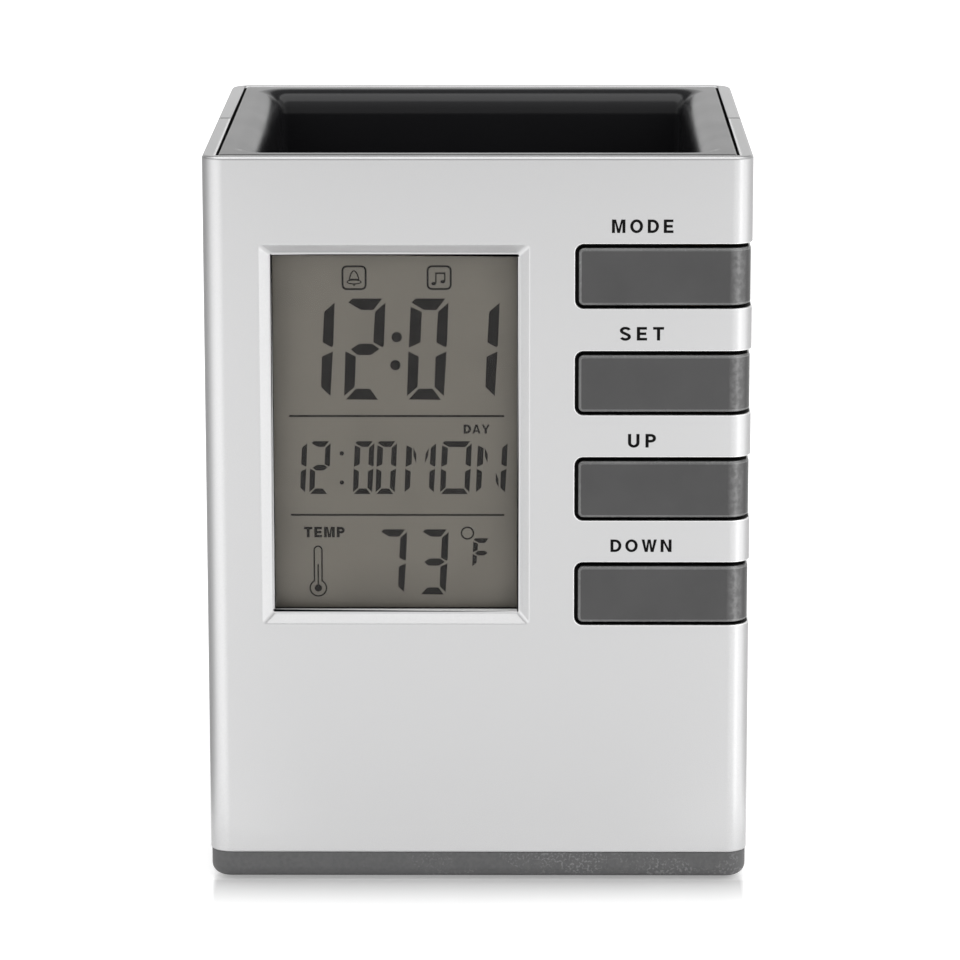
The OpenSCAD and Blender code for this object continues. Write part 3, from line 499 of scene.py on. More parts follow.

# Raw plastic made near black: painted shade in the key gaps, the seam and the inside.
shell_raw_shade, shader, place = new_finish("shell_raw_shade")
grain = noise(place, 2000, 3.0)
tint = blend(grain, 0.004, 0.010)
feed(shader, Base_Color=tint, Specular_IOR_Level=0.2, Roughness=spread(grain, 0.5, 0.65))
bump(shader, grain, 0.1, 0.02)

# A far paler tint on the eased edges: a painted highlight.
shell_edge_highlight, shader, place = new_finish("shell_edge_highlight")
flakes = noise(place, 9000, 2.0)
tint = blend(spread(flakes, 0, 1), 0.72, 0.83)
feed(shader, Base_Color=tint, Metallic=0.85, Roughness=spread(flakes, 0.2, 0.3))

window_wall, shader, place = new_finish("window_wall")
grain = noise(place, 2000, 3.0)
tint = blend(grain, 0.5, 0.62)
feed(shader, Base_Color=tint, Roughness=spread(grain, 0.55, 0.7))

SHELL_FINISHES = (shell_paint, shell_raw_shade, shell_edge_highlight, window_wall)
PAINT, RAW_SHADE, EDGE, WALL = range(4)
print("silver finishes:", [finish.name for finish in SHELL_FINISHES])

# %% [markdown]
# ## Where the paint reaches
# Paint is sprayed on from outside. It covers the outer skin, the top and the window's slopes, but not the
# inside, the seam and the walls of the key slots. These get the near-black raw finish, a painted shade that
# makes the gaps round the keys and the seam look black. Each question here takes a point and answers yes
# or no.

# %% Painted faces
SEAM_Y, TOP_Z = 1.225 * MM, 108.8 * MM
WINDOW_X, WINDOW_Z = -12.1, 67.675
STEP_Y, LENS_Y = -38.39, -36.9
PAINT_DEPTH = 0.35


def in_window(point, half_x, half_z):
    x, _, z = point / MM
    return abs(x - WINDOW_X) < half_x and abs(z - WINDOW_Z) < half_z


def painted(point):
    on_seam = abs(point.y - SEAM_Y) < 0.3 * MM
    on_skin = off_skin(point, *OUTSIDE) > -PAINT_DEPTH or point.z / MM > 108.5
    return not on_seam and (on_skin or in_window(point, 19.8, 28.5) and point.y / MM < LENS_Y)


def round_window(point):
    return in_window(point, 20.3, 29) and point.y / MM < STEP_Y


def behind_step(point):
    x, y, z = point / MM
    return STEP_Y < y < LENS_Y and abs(x - WINDOW_X) < 19 and z < 96.2


print("the window's middle:", (WINDOW_X, WINDOW_Z), "mm")

# %% [markdown]
# ## Silver shells
# The shells' outer edges, the seam, the window's edges and the edge round the rim are each eased by the
# amount that the picture's light lines show. We could pick the edges by hand, but a chooser that looks
# at an edge's two ends still finds them when the model changes.

# %% Silver shells
LEDGE_Y = -38.475 * MM
SHELL_INSIDE = (38.0, 38.0, 0.6)
NEAR = 0.02 * MM


def on_seam_edge(a, b):
    on_seam = max(abs(p.y - SEAM_Y) for p in (a, b)) < NEAR
    across_wall = min(abs(a.x), abs(b.x)) > 37.9 * MM and max(abs(a.x), abs(b.x)) > 38.5 * MM
    return on_seam and (across_wall or lies_on(a, b, *OUTSIDE))


def on_shell_outside(a, b):
    return lies_on(a, b, *OUTSIDE) and min(abs(p.y - SEAM_Y) for p in (a, b)) > 0.5 * MM


def on_window_mitre(a, b):
    slopes = min(abs(step) for step in (a - b) / MM) > 1
    return slopes and min(a.y, b.y) < FRONT_Y and abs(a.x) < 33 * MM


def on_inner_top(a, b):
    return min(a.z, b.z) > TOP_Z - NEAR and lies_on(a, b, *SHELL_INSIDE)


def on_window_ledge(a, b):
    return max(abs(p.y - LEDGE_Y) for p in (a, b)) < NEAR and max(a.z, b.z) < 100 * MM


EASED = [(0.45, 4, on_window_mitre), (0.28, 3, on_seam_edge), (0.2, 3, on_shell_outside),
         (0.28, 3, on_inner_top), (0.1, 2, on_window_ledge)]
for node in ("front_shell", "rear_shell"):
    shell = eased_copy(node, SHELL_FINISHES, EASED, edge_finish=EDGE)
    for face in shell.data.polygons:
        rear_top = face.center.y > SEAM_Y and face.center.z > TOP_Z - 0.3 * MM
        if not painted(face.center):
            face.material_index = RAW_SHADE
        elif rear_top or round_window(face.center):
            face.material_index = PAINT
        elif behind_step(face.center):
            face.material_index = WALL

# %% [markdown]
# ## Gloss black cup
# The cup is one gloss black moulding. Its flat rim lies almost edge-on to the camera, so it mirrors
# the white wall behind and looks silver, while the inside only mirrors itself and stays black. Both
# come from one smooth shader, with a faint waviness and a few dull patches where pens have rubbed.

# %% Black cup
cup_black, shader, place = new_finish("cup_black")
rubbed = spread(noise(place, 90, 5.0), 0.12, 0.24, 0.0, 1.0)
feed(shader, Base_Color=(0.010, 0.010, 0.011, 1), IOR=1.34, Roughness=rubbed)
bump(shader, noise(place, 240, 2.0), 0.03, 0.05)
RIM = (37.75, 37.75, 0.6)


def on_rim_edge(a, b):
    return min(a.z, b.z) > TOP_Z - NEAR and lies_on(a, b, *RIM)


eased_copy("pen_cup", [cup_black], [(0.55, 5, on_rim_edge)])

# %% [markdown]
# ## Grey keys
# Each key is a grey moulding with a spark-eroded grain and well rounded edges. The engineering key has
# its plan and corners, so its outer edges get a bevel of almost half a millimetre with a finish of its
# own, tinted much paler as a painted highlight. The grain is a bump that breaks up the light stripe on the
# corner, where a paler tint is painted in as a highlight too. The skirt that holds each key behind its
# slot stays raw and near black, a painted shade in the gaps.

# %% Keys
KEY_SKIN = (39.75, 40.45, 3.2)


def key_finish(name, dark, light, smooth, rough):
    finish, shader, place = new_finish(name)
    grain = noise(place, 1900, 4.0)
    x = axes(place)["X"]
    # Painted highlight: a paler tint is added in a stripe on the key's corner, where the light falls.
    band = times(spread(x, 0, 1, 0.0365, 0.0378), spread(x, 1, 0, 0.0379, 0.0391))
    wear_and_highlight = times(band, spread(noise(place, 1100, 4.0), 0.45, 1.15, 0.4, 0.62))
    patches = spread(noise(place, 160, 4.0), 0, 1)
    both = add(shader.id_data, "VectorMath", {"operation": "ADD"})
    plug(both.inputs[0], blend(wear_and_highlight, 0.0, 0.105))
    plug(both.inputs[1], blend(patches, dark, light))
    feed(shader, Base_Color=both.outputs[0], Specular_IOR_Level=0.8, Roughness=spread(grain, smooth, rough))
    bump(shader, grain, 0.9, 0.03)
    return finish


key_grey = key_finish("key_grey", (0.010, 0.0095, 0.010), (0.018, 0.0175, 0.018), 0.13, 0.24)
# The eased edges get a far paler tint: a painted highlight.
key_edge_highlight = key_finish("key_edge_highlight", 0.07, 0.115, 0.2, 0.3)
KEY_FINISHES = (key_grey, key_edge_highlight, shell_raw_shade)
KEY_EDGE_HIGHLIGHT, KEY_SKIRT = 1, 2
SKIRT_DEPTH = -0.7


def on_key_outside(a, b):
    return lies_on(a, b, *KEY_SKIN) and max(a.y, b.y) < -28.5 * MM


for name in ("mode", "set", "up", "down"):
    key = eased_copy(name + "_button", KEY_FINISHES, [(0.4, 4, on_key_outside)], edge_finish=KEY_EDGE_HIGHLIGHT)
    for face in key.data.polygons:
        if off_skin(face.center, *KEY_SKIN) < SKIRT_DEPTH:
            face.material_index = KEY_SKIRT

# %% [markdown]
# ## Dark base and battery door
# The base and its door are moulded in a harder grey with a coarser, mottled grain, which also hides
# scuffs from the table. Clusters of pale specks show in the picture, more of them on the right, so two
# noises are multiplied: a fine one for the specks and a broad one for the clusters.

# %% Base and door
base_grey, shader, place = new_finish("base_grey")
grain = noise(place, 1700, 4.0)
specks = times(spread(noise(place, 2600, 2.0), 0, 1, 0.5, 0.64), spread(noise(place, 140, 3.0), 0, 1, 0.43, 0.58))
specks = times(specks, spread(axes(place)["X"], 0.2, 1.0, -0.02, 0.012))
paler = reckon("MAXIMUM", specks, spread(grain, 0, 0.25))
tint = blend(paler, (0.064, 0.064, 0.065), (0.15, 0.15, 0.152))
feed(shader, Base_Color=tint, Roughness=spread(grain, 0.42, 0.58))
bump(shader, grain, 0.25, 0.04)
DOOR_EDGE_Z = 0.45 * MM


def on_door_edge(a, b):
    return max(a.z, b.z) < DOOR_EDGE_Z


eased_copy("battery_door", [base_grey], [(0.06, 2, on_door_edge)])
dress_node("base", base_grey)

# %% [markdown]
# ## Display glass and lens
# The display is a grey reflective cell behind a clear flat lens. The cell's colour is painted darker
# towards its edges and most of all at the bottom: painted shade where the frame keeps light off it. The lens
# lets light straight through and only adds a faint mirror, so a see-through shader with a Fresnel share of
# gloss is steadier than true glass, which would put the cell in shadow.

# %% Display and lens
CENTRE = Vector((-12.129, 0, 67.446)) * MM
display_grey, shader, place = new_finish("display_grey")
at = axes(place)
from_middle = reckon("ABSOLUTE", reckon("SUBTRACT", at["X"], CENTRE.x))
# Painted shade: the cell's colour darkens towards its edges and bottom.
shade = spread(from_middle, 1.0, 0.89, 0.012, 0.0185)
low_shade = spread(reckon("SUBTRACT", at["Z"], CENTRE.z), 0.81, 1.0, -0.0272, -0.019)
mottle = spread(noise(place, 130, 3.0), 0.94, 1.05)
shade = times(times(shade, low_shade), mottle)
tint = blend(shade, 0.0, (0.238, 0.216, 0.190))
feed(shader, Base_Color=tint, Roughness=0.5, Specular_IOR_Level=0.1)
dress_node("lcd_glass", display_grey)

lens_clear, shader, place = new_finish("lens_clear")
tree = shader.id_data
see = add(tree, "BsdfTransparent", Color=(0.97, 0.975, 0.97, 1))
gloss = add(tree, "BsdfGlossy", Roughness=spread(noise(place, 400, 5.0), 0.03, 0.09))
mixed_surface(add(tree, "Fresnel", IOR=1.15).outputs[0], see, gloss)
dress_node("lens", lens_clear)

# %% [markdown]
# ## Drawing on the display
# Lit segments are dark shapes inside the cell, just behind its front. We could paint them in the
# shader, but thin solid shapes keep sharp edges at any distance. One helper turns outlines, in
# millimetres, into shapes two hundredths of a millimetre thick. On the display the outlines are
# measured from its middle, and a mark's millimetre is a shade longer there, because the marks were
# measured on the case's front and the cell lies further back.

# %% Drawing helper
INK_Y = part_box("lcd_glass")[0].y
INK_T = 0.02 * MM
MARK = 1.0017 * MM


def ink_finish(name, dark, light, grain_scale):
    finish, shader, place = new_finish(name)
    wear_and_highlight = spread(noise(place, grain_scale, 2.0), 0, 1)
    feed(shader, Base_Color=blend(wear_and_highlight, dark, light), Roughness=0.5, Specular_IOR_Level=0.03)
    return finish


def on_display(x, z):
    return CENTRE + Vector((x * MARK, INK_Y, z * MARK))


segment_ink = ink_finish("segment_ink", (0.024, 0.022, 0.022), (0.034, 0.031, 0.031), 900)


def draw(name, outlines, place=on_display, ink=segment_ink):
    """Each outline is a list of loops: its outside, then any holes."""
    work = bmesh.new()
    for loops in outlines:
        edges = []
        for loop in loops:
            corners = [work.verts.new(place(x, z)) for x, z in loop]
            edges += [work.edges.new((corners[i - 1], corners[i])) for i in range(len(corners))]
        bmesh.ops.triangle_fill(work, edges=edges, use_beauty=True, use_dissolve=True, normal=(0, -1, 0))
    raised = bmesh.ops.extrude_face_region(work, geom=list(work.faces))
    for item in raised["geom"]:
        if isinstance(item, bmesh.types.BMVert):
            item.co.y -= INK_T
    bmesh.ops.recalc_face_normals(work, faces=work.faces)
    piece = new_piece(work, name, [ink])
    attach(piece, "root")
    print(name, "shapes:", len(outlines), "faces:", len(piece.data.polygons))


def arc(x, z, rx, rz, first, last, steps=14):
    """Part of an oval between two angles in degrees."""
    turns = (math.radians(first + (last - first) * i / steps) for i in range(steps + 1))
    return [(x + rx * math.cos(t), z + rz * math.sin(t)) for t in turns]


def oval(x, z, rx, rz, steps=28):
    turns = (2 * math.pi * i / steps for i in range(steps))
    return [(x + rx * math.cos(turn), z + rz * math.sin(turn)) for turn in turns]


def disc(x, z, r, steps=32):
    return oval(x, z, r, r, steps)


def bar(x0, z0, x1, z1):
    return [(x0, z0), (x1, z0), (x1, z1), (x0, z1)]


print("ink stands on y =", round(INK_Y / MM, 3))

# %% [markdown]
# ## Seven-segment figures
# A figure is seven bars with mitred ends and a hair of space between them, all leaning a few degrees.
# The bars are described once, from the figure's width, height and stroke, and each row of the display
# then uses its own sizes.

# %% Seven-segment helper
LEAN = 0.045
FIGURES = {"0": "abcdef", "1": "bc", "2": "abged", "3": "abgcd", "7": "abc", "F": "aefg"}


def segments(width, height, stroke):
    w, h, k = width, height / 2, stroke / 1.6
    return {
        "a": [(0.15 * k, h - 0.55 * k), (0.7 * k, h), (w - 0.5 * k, h),
              (w - 1.66 * k, h - 1.6 * k), (1.92 * k, h - 1.6 * k)],
        "b": [(w - 0.04 * k, h - 0.58 * k), (w, 0.6 * k), (w - 0.2 * k, 0.28 * k),
              (w - 1.48 * k, 0.98 * k), (w - 1.42 * k, h - 1.86 * k)],
        "c": [(w - 0.02 * k, -0.3 * k), (w - 1.5 * k, -1.04 * k),
              (w - 1.47 * k, 1.82 * k - h), (w - 0.12 * k, 0.55 * k - h)],
        "d": [(0.33 * k, 0.05 * k - h), (w - 0.5 * k, -h), (w - 1.7 * k, 1.56 * k - h), (1.64 * k, 1.56 * k - h)],
        "e": [(0.0, -0.28 * k), (1.47 * k, -1.04 * k), (1.47 * k, 1.82 * k - h), (0.06 * k, 0.55 * k - h)],
        "f": [(0.06 * k, h - 1.14 * k), (1.63 * k, h - 1.88 * k), (1.62 * k, 0.98 * k), (0.04 * k, 0.22 * k)],
        "g": [(0.72 * k, 0.0), (1.85 * k, 0.78 * k), (w - 1.62 * k, 0.78 * k),
              (w - 0.6 * k, 0.05 * k), (w - 1.75 * k, -0.8 * k), (1.7 * k, -0.8 * k)],
    }


def leaning(points, left, middle):
    return [(left + x + LEAN * z, middle + z) for x, z in points]


def figure(mark, right, middle, width, height, stroke):
    bars = segments(width, height, stroke)
    return [[leaning(bars[s], right - width, middle)] for s in FIGURES[mark]]


print("figures:", "".join(FIGURES))

# %% [markdown]
# ## The time
# The largest row shows the time, with two round dots between hours and minutes. A dark border, mostly
# hidden by the case, runs round the display at the edge of the window: a painted shade for the shadow line
# where the cell meets the window.

# %% Time row
TIME_Z = 12.4
shapes = []
for mark, right in (("1", -9.05), ("2", -1.64), ("0", 7.56), ("1", 15.02)):
    shapes += figure(mark, right, TIME_Z, width=5.6, height=15.06, stroke=1.7)
shapes += [[disc(0.25, 14.21, 0.76)], [disc(0.04, 10.05, 0.76)]]
draw("time_figures", shapes)
# The border is painted shade: a dark line where the cell meets the window's edge.
draw("painted_shade_border", [[bar(-18.3, -27.0, 18.3, 26.9), bar(-17.84, -26.37, 17.84, 26.31)]])

# %% [markdown]
# ## Alarm time and weekday
# The middle row is smaller. Its three letters come from wider cells that also have short slanted
# bars, which is how such a display spells a weekday.

# %% Alarm row
ALARM_Z, ALARM_HEIGHT = -5.3, 7.96
LETTER_WIDTH = 4.4
shapes = []
for mark, right in (("1", -13.11), ("2", -9.67), ("0", -3.24), ("0", 0.08)):
    shapes += figure(mark, right, ALARM_Z, width=2.92, height=ALARM_HEIGHT, stroke=0.86)
shapes += [[disc(-7.9, -3.15, 0.33, 20)], [disc(-7.91, -7.54, 0.33, 20)]]
cell = segments(LETTER_WIDTH, ALARM_HEIGHT, stroke=0.88)
high_left = [(1.06, 2.99), (1.12, 1.77), (1.55, 0.7), (1.53, 2.02)]
high_right = [(LETTER_WIDTH - x, z) for x, z in high_left]
low_right = [(LETTER_WIDTH - x, -z) for x, z in high_left]
letters = {
    1.43: [cell[s] for s in "fecb"] + [high_left, high_right],
    6.66: [cell[s] for s in "abcdef"],
    11.92: [cell[s] for s in "fecb"] + [high_left, low_right],
}
for left, bars in letters.items():
    shapes += [[leaning(points, left, ALARM_Z)] for points in bars]
draw("alarm_figures", shapes)

# %% [markdown]
# ## Temperature
# The bottom row has two figures, a small ring for degrees and a small letter beside it. The little
# thermometer is an outline with a bulb, a column and a dot.

# %% Temperature row
BULB_X, BULB_Z = -11.51, -23.49
shapes = []
for mark, right in (("7", 1.46), ("3", 7.6)):
    shapes += figure(mark, right, -19.54, width=3.95, height=9.89, stroke=1.1)
shapes += figure("F", 13.8, -18.18, width=2.5, height=4.5, stroke=0.72)
shapes += [[disc(10.54, -15.16, 1.0), disc(10.54, -15.16, 0.76)]]


def thermometer(half, bulb, top):
    """Outline of a round bulb with a tube of a given half width and a round top."""
    neck = math.degrees(math.asin(half / bulb))
    round_bulb = arc(BULB_X, BULB_Z, bulb, bulb, 90 - neck, neck - 270, 40)
    return round_bulb + arc(BULB_X, top - half, half, half, 180, 0, 12)


shapes += [[thermometer(0.68, 1.32, -17.05), thermometer(0.46, 1.1, -17.27)]]
shapes += [[disc(BULB_X, BULB_Z, 0.55, 24)], [bar(-11.62, -23.1, -11.4, -19.88)]]
shapes += [[bar(-15.58, 2.29, 15.97, 2.6)], [bar(-15.47, -12.56, 15.97, -12.27)]]
draw("temperature_figures", shapes)

# %% [markdown]
# ## Bell and note
# Two small square signs say that the alarm and the chime are on. Each is an outlined square with
# rounded corners and a simple picture inside.

# %% Signs
def round_square(x0, z0, x1, z1, r):
    corners = ((x1 - r, z1 - r, 0), (x0 + r, z1 - r, 90), (x0 + r, z0 + r, 180), (x1 - r, z0 + r, 270))
    return [point for x, z, turn in corners for point in arc(x, z, r, r, turn, turn + 90, 6)]


def bell(x, z, thin):
    """Half of a bell's dome, mirrored; thin is the thickness taken off all round."""
    side = [(0.80, 0.0), (0.70, 0.45), (0.57, 0.87), (0.36, 1.21), (0.15, 1.37)]
    side = [(a - thin, b - 0.6 * thin if i else thin) for i, (a, b) in enumerate(side)]
    top = (0.0, 1.41 - thin)
    return [(x + a, z + b) for a, b in side + [top]] + [(x - a, z + b) for a, b in reversed(side)]


BELL_X, BELL_Z = -5.92, 22.69
SKIRT_Z = 22.38
shapes = []
for x0, z0 in ((-7.75, 21.18), (4.65, 21.2)):
    shapes += [[round_square(x0, z0, x0 + 3.66, z0 + 3.65, 0.78),
                round_square(x0 + 0.29, z0 + 0.29, x0 + 3.37, z0 + 3.36, 0.5)]]
shapes += [[bell(BELL_X, BELL_Z, 0.0), bell(BELL_X, BELL_Z, 0.17)]]
shapes += [[oval(BELL_X, SKIRT_Z, 1.1, 0.38), oval(BELL_X, SKIRT_Z, 0.92, 0.2)]]
shapes += [[disc(BELL_X, 21.94, 0.15, 12)]]
shapes += [[[(5.9, 22.2), (6.1, 22.2), (6.1, 23.56), (7.2, 23.56),
             (7.2, 22.45), (7.4, 22.45), (7.4, 23.8), (5.9, 23.8)]]]
shapes += [[oval(5.68, 22.13, 0.34, 0.25)], [oval(7.0, 22.42, 0.34, 0.25)]]
draw("signs", shapes)

# %% [markdown]
# ## Letters
# The display names its rows, and each key has its job printed above it, all in plain bold capitals.
# A text object could give them, but thickening its strokes folds the narrow corners over, so the
# twelve letters are drawn here as outlines one unit high, from corners and parts of ovals.

# %% Letters
STROKE = 0.195


def thick(line, width):
    """Outline of a stroke of even width along a line of points."""
    sides = ([], [])
    for i, (x, z) in enumerate(line):
        (x0, z0), (x1, z1) = line[max(i - 1, 0)], line[min(i + 1, len(line) - 1)]
        run = math.hypot(x1 - x0, z1 - z0)
        nx, nz = (z0 - z1) / run * width / 2, (x1 - x0) / run * width / 2
        sides[0].append((x + nx, z + nz))
        sides[1].append((x - nx, z - nz))
    return sides[0] + sides[1][::-1]


def letter_shapes(s):
    """Width and loops of each letter; s is the stroke."""
    bar_low, bar_high = 0.5 - s / 2, 0.5 + s / 2
    return {
        "A": (0.78, [[(0, 0), (0.19, 0), (0.245, 0.2), (0.535, 0.2), (0.59, 0), (0.78, 0), (0.49, 1), (0.29, 1)],
                     [(0.29, 0.36), (0.49, 0.36), (0.39, 0.76)]]),
        "D": (0.72, [[(0, 0)] + arc(0.3, 0.5, 0.42, 0.5, -90, 90) + [(0, 1)],
                     [(s, s)] + arc(0.3, 0.5, 0.42 - s, 0.5 - s, -90, 90) + [(s, 1 - s)]]),
        "E": (0.62, [[(0, 0), (0.62, 0), (0.62, s), (s, s), (s, bar_low), (0.57, bar_low), (0.57, bar_high),
                      (s, bar_high), (s, 1 - s), (0.61, 1 - s), (0.61, 1), (0, 1)]]),
        "M": (0.86, [[(0, 0), (s, 0), (s, 0.76), (0.43 - 0.45 * s, 0), (0.43 + 0.45 * s, 0), (0.86 - s, 0.76),
                      (0.86 - s, 0), (0.86, 0), (0.86, 1), (0.86 - 1.35 * s, 1), (0.43, 0.3), (1.35 * s, 1),
                      (0, 1)]]),
        "N": (0.72, [[(0, 0), (s, 0), (s, 0.7), (0.72 - 1.1 * s, 0), (0.72, 0), (0.72, 1), (0.72 - s, 1),
                      (0.72 - s, 0.3), (1.1 * s, 1), (0, 1)]]),
        "O": (0.82, [arc(0.41, 0.5, 0.41, 0.51, 0, 350, 35), arc(0.41, 0.5, 0.41 - s, 0.51 - s, 0, 350, 35)]),
        "P": (0.64, [[(0, 0), (s, 0), (s, 0.37)] + arc(0.33, 0.685, 0.31, 0.315, -90, 90) + [(0, 1)],
                     [(s, 0.37 + s)] + arc(0.33, 0.685, 0.31 - s, 0.315 - s, -90, 90) + [(s, 1 - s)]]),
        "S": (0.66, [thick(arc(0.33, 0.73, 0.24, 0.19, 15, 235) + arc(0.33, 0.27, 0.24, 0.19, 55, -165), s)]),
        "T": (0.66, [[(0.33 - s / 2, 0), (0.33 + s / 2, 0), (0.33 + s / 2, 1 - s), (0.66, 1 - s), (0.66, 1), (0, 1),
                      (0, 1 - s), (0.33 - s / 2, 1 - s)]]),
        "U": (0.7, [[(0, 1)] + arc(0.35, 0.35, 0.35, 0.36, 180, 360) + [(0.7, 1), (0.7 - s, 1)]
                    + arc(0.35, 0.35, 0.35 - s, 0.36 - s, 360, 180) + [(s, 1)]]),
        "W": (1.0, [[(0, 1), (0.21, 0), (0.21 + s, 0), (0.5, 0.74), (0.79 - s, 0), (0.79, 0), (1, 1), (1 - s, 1),
                     (0.79 - 0.45 * s, 0.32), (0.5 + 0.5 * s, 1), (0.5 - 0.5 * s, 1), (0.21 + 0.45 * s, 0.32),
                     (s, 1)]]),
        "Y": (0.76, [[(0.38 - s / 2, 0), (0.38 + s / 2, 0), (0.38 + s / 2, 0.42), (0.76, 1), (0.56, 1), (0.38, 0.61),
                      (0.2, 1), (0, 1), (0.38 - s / 2, 0.42)]]),
    }


print("letters:", "".join(letter_shapes(STROKE)))

# %% [markdown]
# ## Words
# The words on the display use the segments' ink. The key names are a thin black print on the silver
# paint, so they lie on the case's front in an ink of their own. A word is given the box that it fills in
# the picture, and its letters and gaps are stretched together until they fill that box.

# %% Words
def lettering(text, x0, x1, z0, z1, gap, stroke=STROKE):
    letters = letter_shapes(stroke)
    wide = sum(letters[mark][0] for mark in text) + gap * (len(text) - 1)
    across, outlines = 0.0, []
    for mark in text:
        width, loops = letters[mark]
        outlines.append([[(x0 + (across + x) / wide * (x1 - x0), z0 + z * (z1 - z0)) for x, z in loop]
                         for loop in loops])
        across += width + gap
    return outlines


draw("day_word", lettering("DAY", 10.0, 13.83, -0.17, 1.18, 0.12, 0.23))
draw("temp_word", lettering("TEMP", -13.54, -7.55, -15.81, -14.23, 0.16, 0.23))
print_ink = ink_finish("print_ink", 0.003, 0.008, 4000)


def on_front(x, z):
    return Vector((x, MID_Y - 40.0, z)) * MM


KEY_WORDS = {
    "mode_word": ("MODE", 19.45, 28.36, 97.74, 99.71, 0.30),
    "set_word": ("SET", 20.69, 27.10, 81.92, 83.91, 0.36),
    "up_word": ("UP", 21.95, 26.05, 66.01, 68.03, 0.36),
    "down_word": ("DOWN", 19.47, 28.44, 50.33, 52.21, 0.25),
}
for name, setting in KEY_WORDS.items():
    draw(name, lettering(*setting), on_front, print_ink)

# %% [markdown]
# ## What is inside
# The case hides a board, switches, cells and a sounder. They are seen only when the door is open or
# the clock is taken apart, but each still gets its real finish: mottled phenolic board, plated steel,
# epoxy, rubber, brass and ceramic. A short table gives each finish its two tints, roughness, metal
# share and grain.

# %% Inner finishes
INNER = {
    "white_plastic": ((0.72, 0.72, 0.69), (0.80, 0.80, 0.78), 0.5, 0, 1500),
    "strip_rubber": ((0.62, 0.26, 0.30), (0.80, 0.42, 0.46), 0.7, 0, 5000),
    "board_brown": ((0.25, 0.12, 0.045), (0.40, 0.22, 0.09), 0.55, 0, 900),
    "zinc_steel": ((0.45, 0.46, 0.47), (0.62, 0.63, 0.64), 0.32, 1, 3000),
    "epoxy_black": (0.006, 0.018, 0.25, 0, 700),
    "capacitor_sleeve": ((0.02, 0.035, 0.10), (0.035, 0.055, 0.14), 0.3, 0, 1200),
    "thermistor_bead": ((0.02, 0.045, 0.02), (0.04, 0.075, 0.035), 0.25, 0, 1500),
    "switch_plastic": (0.014, 0.03, 0.5, 0, 2500),
    "cell_can": ((0.10, 0.10, 0.105), (0.16, 0.16, 0.165), 0.3, 0.6, 600),
    "nickel": ((0.55, 0.53, 0.50), (0.70, 0.68, 0.65), 0.25, 1, 2000),
    "lead_red": ((0.42, 0.012, 0.012), (0.55, 0.03, 0.025), 0.45, 0, 1500),
    "lead_black": (0.01, 0.022, 0.45, 0, 1500),
    "sounder_brass": ((0.58, 0.38, 0.12), (0.70, 0.50, 0.19), 0.3, 1, 1500),
    "sounder_white": ((0.70, 0.70, 0.66), (0.82, 0.82, 0.79), 0.45, 0, 1500),
    "foot_rubber": (0.012, 0.028, 0.8, 0, 1800),
}
inner_finish = {}
for slot, (dark, light, rough, metal, scale) in INNER.items():
    material, shader, place = new_finish(slot)
    value = noise(place, scale, 4.0)
    tint = blend(spread(value, 0, 1), dark, light)
    feed(shader, Base_Color=tint, Metallic=metal, Roughness=spread(value, rough - 0.06, rough + 0.06))
    bump(shader, value, 0.1, 0.02)
    inner_finish[slot] = material
inner = [name for name in nodes if slot_of_node[name] in inner_finish]
for name in inner:
    dress_node(name, inner_finish[slot_of_node[name]])
print("inner nodes dressed:", len(inner))

# %% [markdown]
# ## Round wire
# Leads and springs are both wire: a tube along a line, whose radius may change on the way. We could bend
# curve objects, but building the rings of a tube ourselves gives clean ends and lets the radius follow
# the length.

# %% Wire helpers
SIDES = 14


def tube(work, line, radii):
    rings, side = [], None
    for i, (point, radius) in enumerate(zip(line, radii)):
        ahead = (line[min(i + 1, len(line) - 1)] - line[max(i - 1, 0)]).normalized()
        side = ahead.orthogonal() if side is None else side
        side = (side - ahead * side.dot(ahead)).normalized()
        up = ahead.cross(side)
        turns = [2 * math.pi * k / SIDES for k in range(SIDES)]
        rings.append([work.verts.new(point + (side * math.cos(a) + up * math.sin(a)) * radius) for a in turns])
    for first, second in zip(rings, rings[1:]):
        for k in range(SIDES):
            work.faces.new((first[k - 1], first[k], second[k], second[k - 1]))
    for ring_end in (rings[0], rings[-1]):
        work.faces.new(ring_end)


def wire_piece(node, line, radii, finishes, bare=0.0):
    """Faces nearer to an end than bare wear the second finish."""
    work = bmesh.new()
    tube(work, line, radii)
    bmesh.ops.recalc_face_normals(work, faces=work.faces)
    for face in work.faces:
        face.smooth = len(face.verts) == 4
        middle = face.calc_center_median()
        face.material_index = int(min((middle - end).length for end in (line[0], line[-1])) < bare)
    piece = new_piece(work, node + "_wire", finishes)
    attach(piece, body_of_node[node])
    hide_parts(node)
    print(node, "rings:", len(line))


print("wire helpers ready")

# %% [markdown]
# ## Leads
# Stranded leads run from the battery contacts and the sounder to the board. Each has a cone of solder at
# both ends, a little bare tinned wire, then the sleeve. A lead is given as a few corners of its way,
# which are rounded first, since no lead turns a sharp corner.

# %% Leads
SLEEVE_RADIUS, SOLDERED, BEND = 0.5, 1.4, 2.2
ENDS = ((0.0, 0.75), (0.15, 0.7), (0.35, 0.5), (0.6, 0.34), (0.85, 0.27), (SOLDERED, 0.27), (1.401, 0.44),
        (1.5, SLEEVE_RADIUS))
LEADS = {
    "red_lead": ((-24.45, -7.25, 16.3), (-24.45, -12.25, 16.3), (-22, -24.5, 16.3), (-22, -29.5, 16.3)),
    "black_lead": ((-24.45, 4.25, 16.3), (-24.45, 2.75, 16.3), (-18, -5, 16.3), (-18, -29.5, 16.3)),
    "sounder_disc_lead": ((8, 36.15, 29.3), (8, 34.6, 29.3), (8, 34.6, 16.3), (8, -29.5, 16.3)),
    "sounder_ceramic_lead": ((4, 35.95, 32.3), (4, 34.6, 32.3), (4, 34.6, 16.3), (4, -29.5, 16.3)),
}


